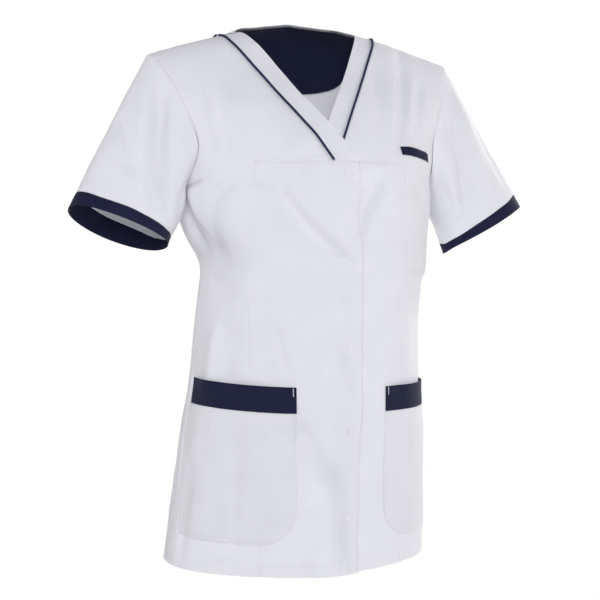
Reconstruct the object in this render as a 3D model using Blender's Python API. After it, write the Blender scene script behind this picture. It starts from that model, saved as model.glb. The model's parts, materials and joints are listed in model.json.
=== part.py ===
"""Short-sleeved medical tunic with a crossover V neck, filled out as on a wearer and hollow.

Metres, +Z up. The wearer faces -Y and their left is +X. The origin is midway between the two neck ends of
the shoulder seams. Each sewn piece is one solid with a thin wall.
"""

import math

import bpy
import numpy as np

CLOTH = 0.0012
SEAM_GAP = 0.0003
FACING_GAP = 0.0020
LAP_SPACE = 0.0033
POCKET_SPACE = 0.0022
GIRTH_QUARTER = 0.24

BUST_LEVEL = -0.177
HEM_LEVEL = -0.705
UNDERARM_LEVEL = -0.214
PLACKET_HALF = 0.020
NECK_HALF = 0.086
BAND_HALF = 0.112
NECK_SHIFT = -0.007
NECK_DIP = -0.010
BAND_DIP = -0.030
FACING_HALF = 0.108
FACING_LEVEL = -0.075
FACING_FULLNESS = 0.3
NECK_RISE = 0.009
PIPING_RADIUS = 0.0012
CUFF_SHARE = 0.888
CUFF_TILT = 0.024
CUFF_TURN = 0.10
CUFF_DROP = 0.005
SLEEVE_BOW = 0.001
RIGHT_UNDERARM_BOW = -0.008
LEFT_UNDERARM_BOW = 0.010

STUD_RADIUS = 0.0050
STUD_CLEAR = 0.0009
STUD_X = 0.003
STUD_LEVELS = (-0.193, -0.302, -0.413, -0.521, -0.633)

# A row per level of the body. Heights at the centre front, centre back and side; sideways shift of the
# middle; half width; depth of the centre front, of the centre back and of the side in front and behind; how far
# the front and the back turn round to the side, in degrees; how square the section is.
BODY_COLUMNS = (
    "level", "z_front", "z_back", "z_side", "shift", "half_width", "front", "back", "side_front", "side_back",
    "turn_front", "turn_back", "square",
)
BODY_ROWS = (
    (-0.705, -0.707, -0.700, -0.695, -0.022, 0.177, -0.134, 0.122, -0.038, -0.038, 90, 90, 0.030),
    (-0.625, -0.625, -0.625, -0.623, -0.013, 0.173, -0.138, 0.115, -0.020, -0.020, 90, 90, 0.025),
    (-0.530, -0.530, -0.530, -0.530, -0.004, 0.166, -0.141, 0.106, -0.008, -0.008, 90, 90, 0.020),
    (-0.470, -0.470, -0.470, -0.470, 0.001, 0.158, -0.143, 0.098, 0.000, 0.000, 90, 90, 0.015),
    (-0.355, -0.355, -0.355, -0.355, 0.009, 0.153, -0.145, 0.083, 0.003, 0.003, 90, 90, 0.010),
    (-0.310, -0.310, -0.310, -0.310, 0.015, 0.154, -0.145, 0.083, 0.002, 0.002, 90, 90, 0.010),
    (-0.265, -0.265, -0.265, -0.265, 0.004, 0.168, -0.144, 0.092, 0.000, 0.000, 90, 90, 0.010),
    (-0.215, -0.215, -0.215, -0.215, 0.000, 0.176, -0.142, 0.102, 0.000, 0.000, 90, 90, 0.010),
    (-0.195, -0.195, -0.195, -0.195, 0.000, 0.173, -0.138, 0.105, -0.040, 0.036, 76, 76, 0.000),
    (-0.155, -0.155, -0.155, -0.157, 0.000, 0.168, -0.125, 0.108, -0.060, 0.048, 66, 66, 0.000),
    (-0.110, -0.108, -0.108, -0.112, 0.000, 0.181, -0.101, 0.106, -0.054, 0.052, 55, 55, 0.000),
    (-0.050, -0.048, -0.045, -0.070, 0.000, 0.197, -0.060, 0.088, -0.036, 0.036, 48, 48, 0.000),
    (-0.016, -0.003, 0.000, -0.044, 0.000, 0.209, -0.030, 0.054, -0.017, 0.018, 42, 42, 0.000),
    (-0.005, 0.011, 0.011, -0.038, 0.000, 0.213, -0.013, 0.020, -0.008, 0.008, 40, 40, 0.000),
    (0.000, 0.014, 0.014, -0.036, 0.000, 0.214, -0.0004, 0.0004, -0.0004, 0.0004, 40, 40, 0.000),
)

# Where each edge runs on the front, as x at a level: the piping and the neck edge of each side, and the seam
# that goes down from the bust.
RIGHT_PIPING = (
    (-0.177, -0.014), (-0.140, -0.036), (-0.095, -0.064), (-0.045, -0.091), (-0.015, -0.110), (0.000, -0.119),
)
RIGHT_NECK = (
    (-0.177, 0.023), (-0.140, -0.003), (-0.095, -0.036), (-0.045, -0.061), (-0.015, -0.082), (0.000, -0.093),
)
LEFT_PIPING = ((-0.177, -0.011), (-0.155, 0.001), (-0.110, 0.029), (-0.050, 0.068), (0.000, 0.105))
LEFT_NECK = ((-0.177, -0.037), (-0.128, -0.011), (-0.085, 0.017), (-0.040, 0.048), (0.000, 0.079))
RIGHT_BUST_SEAM = ((-0.705, -0.112), (-0.480, -0.112), (-0.340, -0.111), (-0.177, -0.112))
LEFT_BUST_SEAM = ((-0.705, 0.089), (-0.480, 0.092), (-0.340, 0.090), (-0.177, 0.088))

# The pockets: lowest and highest level, the x of their edge nearest the middle and how far round the body
# their other edge is at the bottom and at the top, the height of the band above them, the radius of their
# rounded corner, how far the other edge sits higher and how far the edges lie off the front.
POCKET_COLUMNS = (
    "name", "low", "high", "near_x", "far_low", "far_high", "band", "corner", "rise", "gap", "side",
)
POCKETS = (
    ("right_pocket", -0.667, -0.496, -0.065, -0.930, -0.965, 0.033, 0.045, 0.007, 0.0014, -1),
    ("left_pocket", -0.669, -0.498, 0.060, 0.985, 0.985, 0.032, 0.045, 0.000, 0.0010, 1),
    ("chest_pocket", -0.318, -0.164, 0.097, 0.780, 0.800, 0.011, 0.004, -0.009, 0.0014, 1),
)

# The largest folds. Each runs between two points of a panel, given as how far round from the middle and the
# level, with its width and its depth inwards.
FOLD_COLUMNS = ("x0", "z0", "x1", "z1", "width", "depth")
FRONT_FOLDS = (
    (-0.078, -0.192, -0.040, -0.258, 0.012, 0.005),
    (-0.040, -0.258, -0.012, -0.300, 0.012, 0.005),
    (-0.120, -0.205, -0.168, -0.300, 0.020, 0.005),
    (-0.104, -0.190, -0.104, -0.410, 0.020, -0.003),
    (-0.200, -0.240, -0.190, -0.300, 0.018, 0.006),
    (-0.088, -0.395, -0.062, -0.455, 0.013, 0.003),
    (-0.182, -0.405, -0.184, -0.460, 0.015, -0.003),
    (-0.056, -0.508, -0.024, -0.568, 0.012, 0.005),
    (-0.024, -0.568, -0.002, -0.640, 0.018, 0.004),
    (-0.140, -0.480, -0.142, -0.700, 0.028, 0.004),
    (0.062, -0.198, 0.022, -0.268, 0.013, 0.005),
    (0.036, -0.530, 0.038, -0.705, 0.016, 0.004),
    (0.150, -0.030, 0.124, -0.150, 0.011, 0.004),
    (0.100, -0.045, 0.085, -0.140, 0.014, 0.002),
    (0.120, -0.330, 0.128, -0.440, 0.020, 0.003),
    (0.190, -0.560, 0.200, -0.700, 0.022, 0.004),
)
BACK_FOLDS = (
    (-0.060, -0.300, -0.095, -0.420, 0.020, 0.004),
    (0.055, -0.310, 0.085, -0.430, 0.020, 0.004),
    (-0.200, -0.240, -0.120, -0.330, 0.018, 0.005),
    (0.200, -0.240, 0.125, -0.320, 0.018, 0.005),
    (-0.130, -0.060, -0.155, -0.170, 0.014, 0.004),
    (0.130, -0.060, 0.150, -0.165, 0.014, 0.004),
    (-0.120, -0.520, -0.135, -0.700, 0.024, 0.005),
    (0.015, -0.540, 0.010, -0.700, 0.022, 0.004),
    (0.140, -0.530, 0.150, -0.700, 0.024, 0.005),
)
# The sleeves' folds, by how far round from the top of the arm over the front, in turns, and the share of the
# way down.
SLEEVE_FOLDS = (
    (0.200, 0.05, 0.300, 0.80, 0.035, 0.005),
    (0.110, 0.30, 0.130, 0.90, 0.030, 0.003),
    (0.420, 0.10, 0.400, 0.70, 0.040, 0.005),
    (0.720, 0.05, 0.680, 0.80, 0.040, 0.005),
    (0.880, 0.25, 0.850, 0.90, 0.030, 0.003),
)

# The opening of each cuff: its middle, half of its long side from under the arm to the outside, and half of
# its short side from front to back.
RIGHT_CUFF = ((-0.2665, -0.030, -0.2595), (-0.0630, 0.004, 0.0250), (0.0, 0.041, -0.015))
LEFT_CUFF = ((0.2640, -0.030, -0.2640), (0.0585, 0.004, 0.0300), (0.0, 0.040, -0.013))


def spread(first, last, count):
    return np.linspace(first, last, count)


LOW_LEVELS = np.concatenate([spread(HEM_LEVEL, -0.320, 20), spread(-0.320, UNDERARM_LEVEL, 7)[1:]])
BUST_LEVELS = spread(UNDERARM_LEVEL, BUST_LEVEL, 4)[1:]
HIGH_LEVELS = np.concatenate([spread(BUST_LEVEL, -0.030, 8)[1:], (-0.016, -0.006, 0.0)])
LEVELS = np.concatenate([LOW_LEVELS, BUST_LEVELS, HIGH_LEVELS])
BELOW_BUST = len(LOW_LEVELS) + len(BUST_LEVELS)


def hermite(knots, values, at):
    """A smooth curve through the values, flat where they turn back."""
    knots = np.asarray(knots, float)
    values = np.asarray(values, float)
    at = np.clip(np.asarray(at, float), knots[0], knots[-1])
    steps = np.diff(knots)
    rises = np.diff(values) / steps
    slopes = np.zeros(len(knots))
    slopes[0] = rises[0]
    slopes[-1] = rises[-1]
    for k in range(1, len(knots) - 1):
        if rises[k - 1] * rises[k] > 0:
            before = 2 * steps[k] + steps[k - 1]
            after = steps[k] + 2 * steps[k - 1]
            slopes[k] = (before + after) / (before / rises[k - 1] + after / rises[k])
    place = np.clip(np.searchsorted(knots, at, side="right") - 1, 0, len(steps) - 1)
    step = steps[place]
    t = (at - knots[place]) / step
    return (
        values[place] * (1 + 2 * t) * (1 - t) ** 2
        + slopes[place] * step * t * (1 - t) ** 2
        + values[place + 1] * t**2 * (3 - 2 * t)
        + slopes[place + 1] * step * t**2 * (t - 1)
    )


def body_row(name, level):
    column = BODY_COLUMNS.index(name)
    return hermite([row[0] for row in BODY_ROWS], [row[column] for row in BODY_ROWS], level)


def edge_x(edge, level):
    return hermite([point[0] for point in edge], [point[1] for point in edge], level)


def body_surface(face, around, level):
    """A point of the plain body. face is -1 in front and 1 behind, around runs from -1 to 1 side to side."""
    part = "front" if face < 0 else "back"
    turn = np.radians(body_row("turn_" + part, level))
    angle = around * turn
    across = np.sin(angle) / np.sin(turn)
    bow = (np.cos(angle) - np.cos(turn)) / (1 - np.cos(turn))
    wide = 1 + body_row("square", level) * np.sin(2 * angle) ** 2
    side = body_row("side_" + part, level)
    x = body_row("shift", level) + body_row("half_width", level) * across * wide
    y = side + (body_row(part, level) - side) * bow * wide
    middle = body_row("z_" + part, level)
    z = middle + (body_row("z_side", level) - middle) * np.abs(across) ** 1.3
    if face > 0:
        z = z + neck_rise(x, level)
    return np.stack([x, y, z], axis=-1)


def neck_rise(x, level):
    """The cloth behind the neck stands up from the shoulders."""
    down = np.maximum(-level, 0) / 0.010
    inside = np.clip((0.112 - np.abs(x - NECK_SHIFT)) / 0.045, 0, 1)
    return NECK_RISE * down * np.exp(1 - down) * inside * inside * (3 - 2 * inside)


def around_at(face, x, level):
    """How far round the body a given x lies at a level."""
    low = np.full(np.shape(x), -1.0)
    high = np.full(np.shape(x), 1.0)
    for _ in range(40):
        middle = (low + high) / 2
        less = body_surface(face, middle, level)[..., 0] < x
        low = np.where(less, middle, low)
        high = np.where(less, high, middle)
    return (low + high) / 2


def fold_depth(folds, x, z):
    """How far the folds push the cloth inwards at a point of the flat panel."""
    depth = np.zeros(np.shape(x))
    for x0, z0, x1, z1, width, deep in folds:
        run = np.hypot(x1 - x0, z1 - z0)
        along = ((x - x0) * (x1 - x0) + (z - z0) * (z1 - z0)) / run**2
        aside = ((x - x0) * (z1 - z0) - (z - z0) * (x1 - x0)) / run
        ends = np.clip(np.minimum(along + 0.15, 1.15 - along) / 0.4, 0, 1)
        depth += deep * np.exp(-((aside / width) ** 2)) * ends**2 * (3 - 2 * ends)
    return depth


def body_cloth(face, around, level, out=0.0):
    """A point of the creased cloth, moved out by a distance along the body's normal."""
    around, level = np.broadcast_arrays(np.asarray(around, float), np.asarray(level, float))
    step = 1e-4
    low = np.clip(level - step, HEM_LEVEL, -2 * step)
    across = body_surface(face, around + step, level) - body_surface(face, around - step, level)
    upward = body_surface(face, around, low + 2 * step) - body_surface(face, around, low)
    normal = -face * np.cross(across, upward)
    normal /= np.linalg.norm(normal, axis=-1, keepdims=True)
    folds = FRONT_FOLDS if face < 0 else BACK_FOLDS
    distance = out - fold_depth(folds, around * GIRTH_QUARTER, level)
    return body_surface(face, around, level) + normal * np.asarray(distance)[..., None]


def material(name, colour, roughness):
    finish = bpy.data.materials.new(name)
    finish.use_nodes = True
    shader = finish.node_tree.nodes["Principled BSDF"]
    shader.inputs["Base Color"].default_value = (*colour, 1.0)
    shader.inputs["Roughness"].default_value = roughness
    return finish


def add_mesh(name, points, faces, finish):
    mesh = bpy.data.meshes.new(name)
    mesh.from_pydata([tuple(point) for point in points], [], [tuple(face) for face in faces])
    mesh.update()
    obj = bpy.data.objects.new(name, mesh)
    obj.data.materials.append(finish)
    bpy.context.collection.objects.link(obj)
    return obj


def add_sheet(name, outer, inner, finish, keep=None, joined=False):
    """A thin solid between two grids of points. keep marks its cells; joined closes its rows to rings."""
    rows, columns = outer.shape[:2]
    cells = np.ones((rows - 1, columns if joined else columns - 1), bool) if keep is None else keep
    corners = {}
    points = []
    faces = []

    def corner(layer, i, j):
        key = (layer, i, j % columns)
        if key not in corners:
            corners[key] = len(points)
            points.append((outer, inner)[layer][i, j % columns])
        return corners[key]

    def has(i, j):
        if joined:
            j %= cells.shape[1]
        return 0 <= i < cells.shape[0] and 0 <= j < cells.shape[1] and bool(cells[i, j])

    for i in range(cells.shape[0]):
        for j in range(cells.shape[1]):
            if not has(i, j):
                continue
            a = [corner(0, i, j), corner(0, i, j + 1), corner(0, i + 1, j + 1), corner(0, i + 1, j)]
            b = [corner(1, i, j), corner(1, i, j + 1), corner(1, i + 1, j + 1), corner(1, i + 1, j)]
            first = np.linalg.norm(points[a[0]] - points[a[2]])
            second = np.linalg.norm(points[a[1]] - points[a[3]])
            halves = ((0, 1, 2), (0, 2, 3)) if first < second else ((1, 2, 3), (1, 3, 0))
            for half in halves:
                faces.append([a[k] for k in half])
                faces.append([b[k] for k in half[::-1]])
            for k, (di, dj) in enumerate(((-1, 0), (0, 1), (1, 0), (0, -1))):
                if not has(i + di, j + dj):
                    faces.append([a[(k + 1) % 4], a[k], b[k], b[(k + 1) % 4]])
    obj = add_mesh(name, points, faces, finish)
    turn_out(obj)
    return obj


def turn_out(obj):
    """Turns the faces over if they point inwards, by the sign of the enclosed volume."""
    mesh = obj.data
    volume = 0.0
    for face in mesh.polygons:
        corners = [mesh.vertices[v].co for v in face.vertices]
        for k in range(1, len(corners) - 1):
            volume += corners[0].dot(corners[k].cross(corners[k + 1]))
    if volume < 0:
        mesh.flip_normals()


def body_sheet(name, face, around, level, finish, out=0.0, wall=CLOTH, keep=None):
    outer = body_cloth(face, around, level, out + wall)
    inner = body_cloth(face, around, level, out)
    return add_sheet(name, outer, inner, finish, keep)


def blend(first, last, shares):
    """Rows of values running from one edge to another, a row for each pair of ends."""
    return first[:, None] + (last - first)[:, None] * np.asarray(shares)[None, :]


def lap_lift(x):
    """How far the upper front and its band stand off where they lap over the lower one."""
    near = np.clip((x + 0.062) / 0.035, 0, 1)
    return (CLOTH + LAP_SPACE) * near * near * (3 - 2 * near)


def front_out(right, around, level):
    """Where the inner face of the right or left front lies above the plain body."""
    return lap_lift(body_surface(-1, around, level)[..., 0]) if right else np.zeros(np.shape(around))


def front_sheet(name, right, around, level, finish, above=0.0, wall=CLOTH, keep=None):
    around, level = np.broadcast_arrays(around, level)
    out = front_out(right, around, level) + above
    return body_sheet(name, -1, around, level, finish, out, wall, keep)


def front_half(prefix, side, finish, band_finish, piping_finish):
    """One front: its side piece, the piece under the bust in the middle, its neckband and its piping."""
    right = side < 0
    piping = RIGHT_PIPING if right else LEFT_PIPING
    neck = RIGHT_NECK if right else LEFT_NECK
    seam = RIGHT_BUST_SEAM if right else LEFT_BUST_SEAM
    lap_x = -side * PLACKET_HALF
    levels = LEVELS
    outside = np.full(len(levels), side * 0.9990)
    end_x = edge_x(piping, np.maximum(levels, BUST_LEVEL)) + side * SEAM_GAP * 1.5
    upward = np.clip((levels - BUST_LEVEL) / -BUST_LEVEL, 0, 1)
    seam_x = edge_x(seam, np.minimum(levels, BUST_LEVEL))
    seam_x = seam_x + (end_x + side * 0.045 - seam_x) * upward
    seam_around = around_at(-1, seam_x, levels)
    end_around = around_at(-1, end_x, levels)
    side_part = blend(outside, seam_around, spread(0, 1, 9))
    upper_part = blend(seam_around, end_around, spread(0, 1, 8)[1:])
    around = np.hstack([side_part, upper_part])
    keep = np.ones((len(levels) - 1, around.shape[1] - 1), bool)
    keep[: BELOW_BUST - 1, 8:] = False
    front_sheet(prefix + "_front_side", right, around, levels[:, None], finish, keep=keep)

    levels = LEVELS[:BELOW_BUST].copy()
    levels[-1] -= SEAM_GAP
    start = around_at(-1, edge_x(seam, levels) - side * SEAM_GAP, levels)
    end = around_at(-1, np.full(len(levels), lap_x), levels)
    around = blend(start, end, spread(0, 1, 10))
    front_sheet(prefix + "_front_centre", right, around, levels[:, None], finish)

    levels = spread(BUST_LEVEL + SEAM_GAP, -SEAM_GAP, 22)
    outer = around_at(-1, edge_x(piping, levels), levels)
    inner = around_at(-1, edge_x(neck, levels), levels)
    around = blend(outer, inner, spread(0, 1, 4))
    front_sheet(prefix + "_neckband", right, around, levels[:, None], band_finish)

    levels = spread(BUST_LEVEL + 2 * SEAM_GAP, -2 * SEAM_GAP, 26)
    around = around_at(-1, edge_x(piping, levels), levels)
    lift = front_out(right, around, levels) + CLOTH + 2 * SEAM_GAP + PIPING_RADIUS
    add_cord(prefix + "_piping", body_cloth(-1, around, levels, lift), PIPING_RADIUS, piping_finish)


def add_cord(name, path, radius, finish, sides=6):
    """A round cord along a path."""
    tangent = np.gradient(path, axis=0)
    tangent /= np.linalg.norm(tangent, axis=1, keepdims=True)
    aside = np.cross(tangent, (0.3, 0.9, 0.3))
    aside /= np.linalg.norm(aside, axis=1, keepdims=True)
    other = np.cross(tangent, aside)
    points = []
    faces = []
    count = len(path)
    for i in range(count):
        for k in range(sides):
            angle = 2 * math.pi * k / sides
            points.append(path[i] + radius * (math.cos(angle) * aside[i] + math.sin(angle) * other[i]))
    for i in range(count - 1):
        for k in range(sides):
            a = i * sides + k
            b = i * sides + (k + 1) % sides
            faces.append((a, b, b + sides, a + sides))
    faces.append(tuple(range(sides))[::-1])
    faces.append(tuple(range((count - 1) * sides, count * sides)))
    turn_out(add_mesh(name, points, faces, finish))


def neck_path(half, dip, count, fullness=1.0):
    """How far round and at what level the back neck runs, squarer if less full."""
    swing = spread(-0.5 * math.pi, 0.5 * math.pi, count)
    x = NECK_SHIFT + half * np.sin(swing)
    level = dip * np.abs(np.cos(swing)) ** fullness - 0.5 * SEAM_GAP
    return around_at(1, x, level), level


def back_columns():
    """How far round each column of the back lies and the level of its top."""
    swing = spread(-0.5 * math.pi, 0.5 * math.pi, 13)
    top = (BAND_DIP - 5 * SEAM_GAP) * np.cos(swing)
    middle = around_at(1, NECK_SHIFT + (BAND_HALF + 5 * SEAM_GAP) * np.sin(swing), top)
    right = spread(-0.9990, middle[0], 6)[:-1]
    left = spread(middle[-1], 0.9990, 6)[1:]
    flat = np.zeros(len(right))
    return np.concatenate([right, middle, left]), np.concatenate([flat, top, flat])


def back_pieces(finish, band_finish, piping_finish, facing_finish):
    around, top = back_columns()
    rows = 1 - LEVELS / HEM_LEVEL
    level = HEM_LEVEL + rows[:, None] * (top - HEM_LEVEL)[None, :]
    body_sheet("back", 1, np.broadcast_to(around, level.shape), level, finish)

    inner_around, inner_level = neck_path(NECK_HALF, NECK_DIP, 19)
    outer_around, outer_level = neck_path(BAND_HALF, BAND_DIP, 19)
    across = spread(0, 1, 4)
    around = blend(outer_around, inner_around, across)
    body_sheet("back_neckband", 1, around, blend(outer_level, inner_level, across), band_finish)
    lift = CLOTH + 2 * SEAM_GAP + PIPING_RADIUS
    seam_around, seam_level = neck_path(BAND_HALF, BAND_DIP, 25)
    seam = body_cloth(1, seam_around, seam_level - SEAM_GAP, lift)
    add_cord("back_piping", seam, PIPING_RADIUS, piping_finish)
    low_around, low_level = neck_path(FACING_HALF, FACING_LEVEL, 25, FACING_FULLNESS)
    top_around, top_level = neck_path(NECK_HALF, NECK_DIP, 25)
    across = spread(0, 1, 9)
    around = blend(low_around, top_around, across)
    level = blend(low_level, top_level, across) - FACING_GAP
    body_sheet("back_neck_facing", 1, around, level, facing_finish, out=-CLOTH - FACING_GAP)


def armhole_ring(side):
    """Where the sleeve starts, clear of the armhole's edge: down the front, under the arm and up the back."""
    down = LEVELS[LEVELS >= UNDERARM_LEVEL][::-1]
    ring = []
    for face, levels in ((-1, down[:-1]), (1, down[:0:-1])):
        at_side = np.full(len(levels), float(side))
        edge = body_surface(face, at_side, levels)
        leaving = edge - body_surface(face, at_side * 0.99, levels)
        leaving /= np.linalg.norm(leaving, axis=1, keepdims=True)
        outward = body_cloth(face, at_side, levels, 1.0) - body_cloth(face, at_side, levels)
        under = np.clip((-0.110 - levels) / 0.070, 0, 1)[:, None]
        bottom = np.clip((-0.195 - levels) / 0.019, 0, 1)[:, None]
        leaving = leaving * (1 - bottom) + np.array((side * 0.5, 0, 0.9)) * bottom
        ring.append(edge + leaving * (CLOTH + 2 * SEAM_GAP) + outward * under * (2 * CLOTH + SEAM_GAP))
    return np.concatenate(ring)


def cuff_ring(cuff, steps):
    """The end of a cuff. Its front edge hangs a little."""
    middle, long_side, short_side = np.asarray(cuff)
    turn = np.arange(steps)[:, None] * 2 * math.pi / steps
    hang = np.array((0.0, 0.0, -CUFF_DROP)) * np.clip(np.sin(turn), 0, 1) ** 2
    return middle + long_side * np.cos(turn) - short_side * np.sin(turn) + hang


def sleeve_surface(side, cuff, shares):
    """Rings of points from the armhole to the end of the cuff, bowed outwards. The cuff is taller behind."""
    first = armhole_ring(side)
    last = cuff_ring(cuff, len(first))
    turn = np.arange(len(first)) * 2 * math.pi / len(first)
    shares = np.asarray(shares)[:, None]
    swing = np.sin(turn + 2 * math.pi * CUFF_TURN)[None, :]
    shares = (shares + CUFF_TILT * swing * shares * (1 - shares) / 0.09)[..., None]
    rings = first + (last - first) * shares
    bow = np.array([side * 0.85, 0.0, 0.52]) * SLEEVE_BOW
    top = np.cos(turn)[None, :, None] * 0.5 + 0.5
    under = RIGHT_UNDERARM_BOW if side < 0 else LEFT_UNDERARM_BOW
    rings = rings + bow * np.sin(math.pi * shares) * top
    hang = np.sin(math.pi * shares) ** (2 if side < 0 else 1) * (1 - top) ** 2
    rings = rings + np.array([side * under, 0.0, 0.0]) * hang
    around, along = np.broadcast_arrays(turn[None, :] / (2 * math.pi), shares[:, :, 0])
    depth = fold_depth(SLEEVE_FOLDS, around, along) * np.clip(along / 0.15, 0, 1)
    return rings - ring_normals(rings) * depth[..., None]


def ring_normals(rings):
    around = np.roll(rings, -1, axis=1) - np.roll(rings, 1, axis=1)
    along = np.gradient(rings, axis=0)
    normal = np.cross(around, along)
    normal /= np.linalg.norm(normal, axis=-1, keepdims=True)
    middle = rings.mean(axis=1, keepdims=True)
    if ((rings - middle) * normal).sum() < 0:
        normal = -normal
    return normal


def sleeve(prefix, side, cuff, finish, cuff_finish):
    shares = np.concatenate([spread(0, CUFF_SHARE, 12), spread(CUFF_SHARE + 0.0022, 1, 3)])
    rings = sleeve_surface(side, cuff, shares)
    walls = rings + ring_normals(rings) * CLOTH
    add_sheet(prefix + "_sleeve", walls[:12], rings[:12], finish, joined=True)
    add_sheet(prefix + "_cuff", walls[12:], rings[12:], cuff_finish, joined=True)


def pocket(name, low, high, near_x, far_low, far_high, band, corner, rise, gap, side, finish, band_finish):
    """A patch pocket laid on the front, a little open at the top, with its band."""
    right = side < 0
    shares = spread(0, 1, 12)
    from_edge = np.clip(1 - shares * abs(far_low) * 0.7 * GIRTH_QUARTER / corner, 0, 1)
    bottom = low + corner * (1 - np.sqrt(1 - from_edge**2)) + rise * shares
    top = high + rise * shares
    swell = POCKET_SPACE * np.sin(math.pi * shares)[None, :] ** 0.8

    def lay(piece, level, piece_finish):
        tall = (level - low) / (high + band - low)
        near = around_at(-1, np.full(level.shape[0], near_x), level[:, 0])
        far = far_low + (far_high - far_low) * tall[:, -1]
        around = blend(near, far, shares)
        front_sheet(piece, right, around, level, piece_finish, CLOTH + gap + swell * np.clip(tall, 0, 1) ** 2)

    lay(name, bottom[None, :] + (top - bottom)[None, :] * spread(0, 1, 12)[:, None], finish)
    lay(name + "_band", top[None, :] + spread(SEAM_GAP, band, 3)[:, None], band_finish)


def press_stud(number, level, finish):
    """A stud between the two fronts, a round plug along the body's normal."""
    low = CLOTH + STUD_CLEAR
    high = CLOTH + LAP_SPACE - STUD_CLEAR
    around = around_at(-1, np.array([STUD_X]), np.array([level]))
    feet = body_cloth(-1, around, np.array([level]), low)[0]
    head = body_cloth(-1, around, np.array([level]), high)[0]
    axis = (head - feet) / np.linalg.norm(head - feet)
    aside = np.cross(axis, (0, 0, 1.0))
    aside /= np.linalg.norm(aside)
    other = np.cross(axis, aside)
    points = []
    sides = 16
    for centre in (feet, head):
        for k in range(sides):
            angle = 2 * math.pi * k / sides
            points.append(centre + STUD_RADIUS * (math.cos(angle) * aside + math.sin(angle) * other))
    faces = [(k, (k + 1) % sides, sides + (k + 1) % sides, sides + k) for k in range(sides)]
    faces.append(tuple(range(sides))[::-1])
    faces.append(tuple(range(sides, 2 * sides)))
    turn_out(add_mesh(f"press_stud_{number}", points, faces, finish))


def main():
    for obj in list(bpy.data.objects):
        bpy.data.objects.remove(obj)
    white = material("white_twill", (0.86, 0.86, 0.89), 0.75)
    navy = material("navy_twill", (0.018, 0.024, 0.075), 0.75)
    stud = material("stud_plastic", (0.85, 0.85, 0.87), 0.4)
    front_half("right", -1, white, white, navy)
    front_half("left", 1, white, white, navy)
    back_pieces(white, white, navy, navy)
    sleeve("right", -1, RIGHT_CUFF, white, navy)
    sleeve("left", 1, LEFT_CUFF, white, navy)
    for row in POCKETS:
        pocket(*row, white, navy)
    for number, level in enumerate(STUD_LEVELS, 1):
        press_stud(number, level, stud)


main()
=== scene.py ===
"""Medical tunic: its sewn cloth, trims, sewing and press studs around the solid frame, and the stage."""

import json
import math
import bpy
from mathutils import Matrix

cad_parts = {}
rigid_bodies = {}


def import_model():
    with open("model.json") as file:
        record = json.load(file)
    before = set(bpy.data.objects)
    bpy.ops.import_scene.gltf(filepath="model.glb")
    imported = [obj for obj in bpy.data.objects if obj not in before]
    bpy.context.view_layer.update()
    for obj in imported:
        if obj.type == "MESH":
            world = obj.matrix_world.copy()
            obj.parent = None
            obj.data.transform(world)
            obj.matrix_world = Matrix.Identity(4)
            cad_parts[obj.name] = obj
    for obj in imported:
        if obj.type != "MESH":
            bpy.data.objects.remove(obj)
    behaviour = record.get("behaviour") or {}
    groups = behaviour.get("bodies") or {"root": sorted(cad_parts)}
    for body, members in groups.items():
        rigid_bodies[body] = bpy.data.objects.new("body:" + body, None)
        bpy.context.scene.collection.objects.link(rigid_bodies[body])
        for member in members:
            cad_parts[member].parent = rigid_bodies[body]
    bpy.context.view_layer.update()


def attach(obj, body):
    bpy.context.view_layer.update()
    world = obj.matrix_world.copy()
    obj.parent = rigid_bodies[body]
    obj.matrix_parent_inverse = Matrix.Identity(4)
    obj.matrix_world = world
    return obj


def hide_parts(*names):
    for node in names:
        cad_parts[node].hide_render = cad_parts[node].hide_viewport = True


bl_info = {
    "name": "Medical Tunic",
    "version": (1, 0, 0),
    "blender": (4, 5, 0),
    "location": "View3D > Sidebar > Tunic",
    "description": "Makes a filled-out medical tunic of sewn cloth around its solid frame",
    "category": "Add Mesh",
}

from functools import partial

import bmesh
import bpy
import numpy as np
from mathutils import Matrix, Vector

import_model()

# Room between sewn pieces, the solids' wall, and the room between layers that lie on each other.
SEAM_GAP = 0.0003
CAD_WALL = 0.0012
LAP_SPACE = 0.0033
POCKET_SPACE = 0.0022
FACING_GAP = 0.0020
STUD_CLEARANCE = 0.0009

# From the middle to the side seam along the cut.
GIRTH_QUARTER = 0.24

# Rows of stitching, by their distance from the hem, the bust seam and other seams, and the dip at a soft seam.
HEM_ROW = 0.015
BUST_ROWS = (0.002, 0.0075)
SEAM_ROW = 0.0028
SOFT_DIP = 0.0004

BUST_LEVEL = -0.177
HEM_LEVEL = -0.705
UNDERARM_LEVEL = -0.214
PLACKET_HALF = 0.020
SIDE_END = 0.999
NECK_SHIFT = -0.007
NECK_RISE = 0.009
BAND_HALF = 0.112
BAND_DIP = -0.030

# The edges at the back neck: half width, dip and fullness.
NECK_EDGE = (0.086, -0.010, 1.0)
BAND_EDGE = (BAND_HALF, BAND_DIP, 1.0)
FACING_EDGE = (0.108, -0.075, 0.3)

# Where the cuff starts, as a share of the sleeve, the gap there, and how its seam lies.
CUFF_SHARE = 0.888
CUFF_GAP = 0.0022
CUFF_TILT = 0.024
CUFF_TURN = 0.10
CUFF_DROP = 0.005
SLEEVE_BOW = 0.001
STUD_X = 0.003
STUD_RADIUS = 0.005
CORD_RADIUS = 0.0016
CORD_LIFT = 0.0009
STUD_LEVELS = (-0.193, -0.302, -0.413, -0.521, -0.633)

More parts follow.
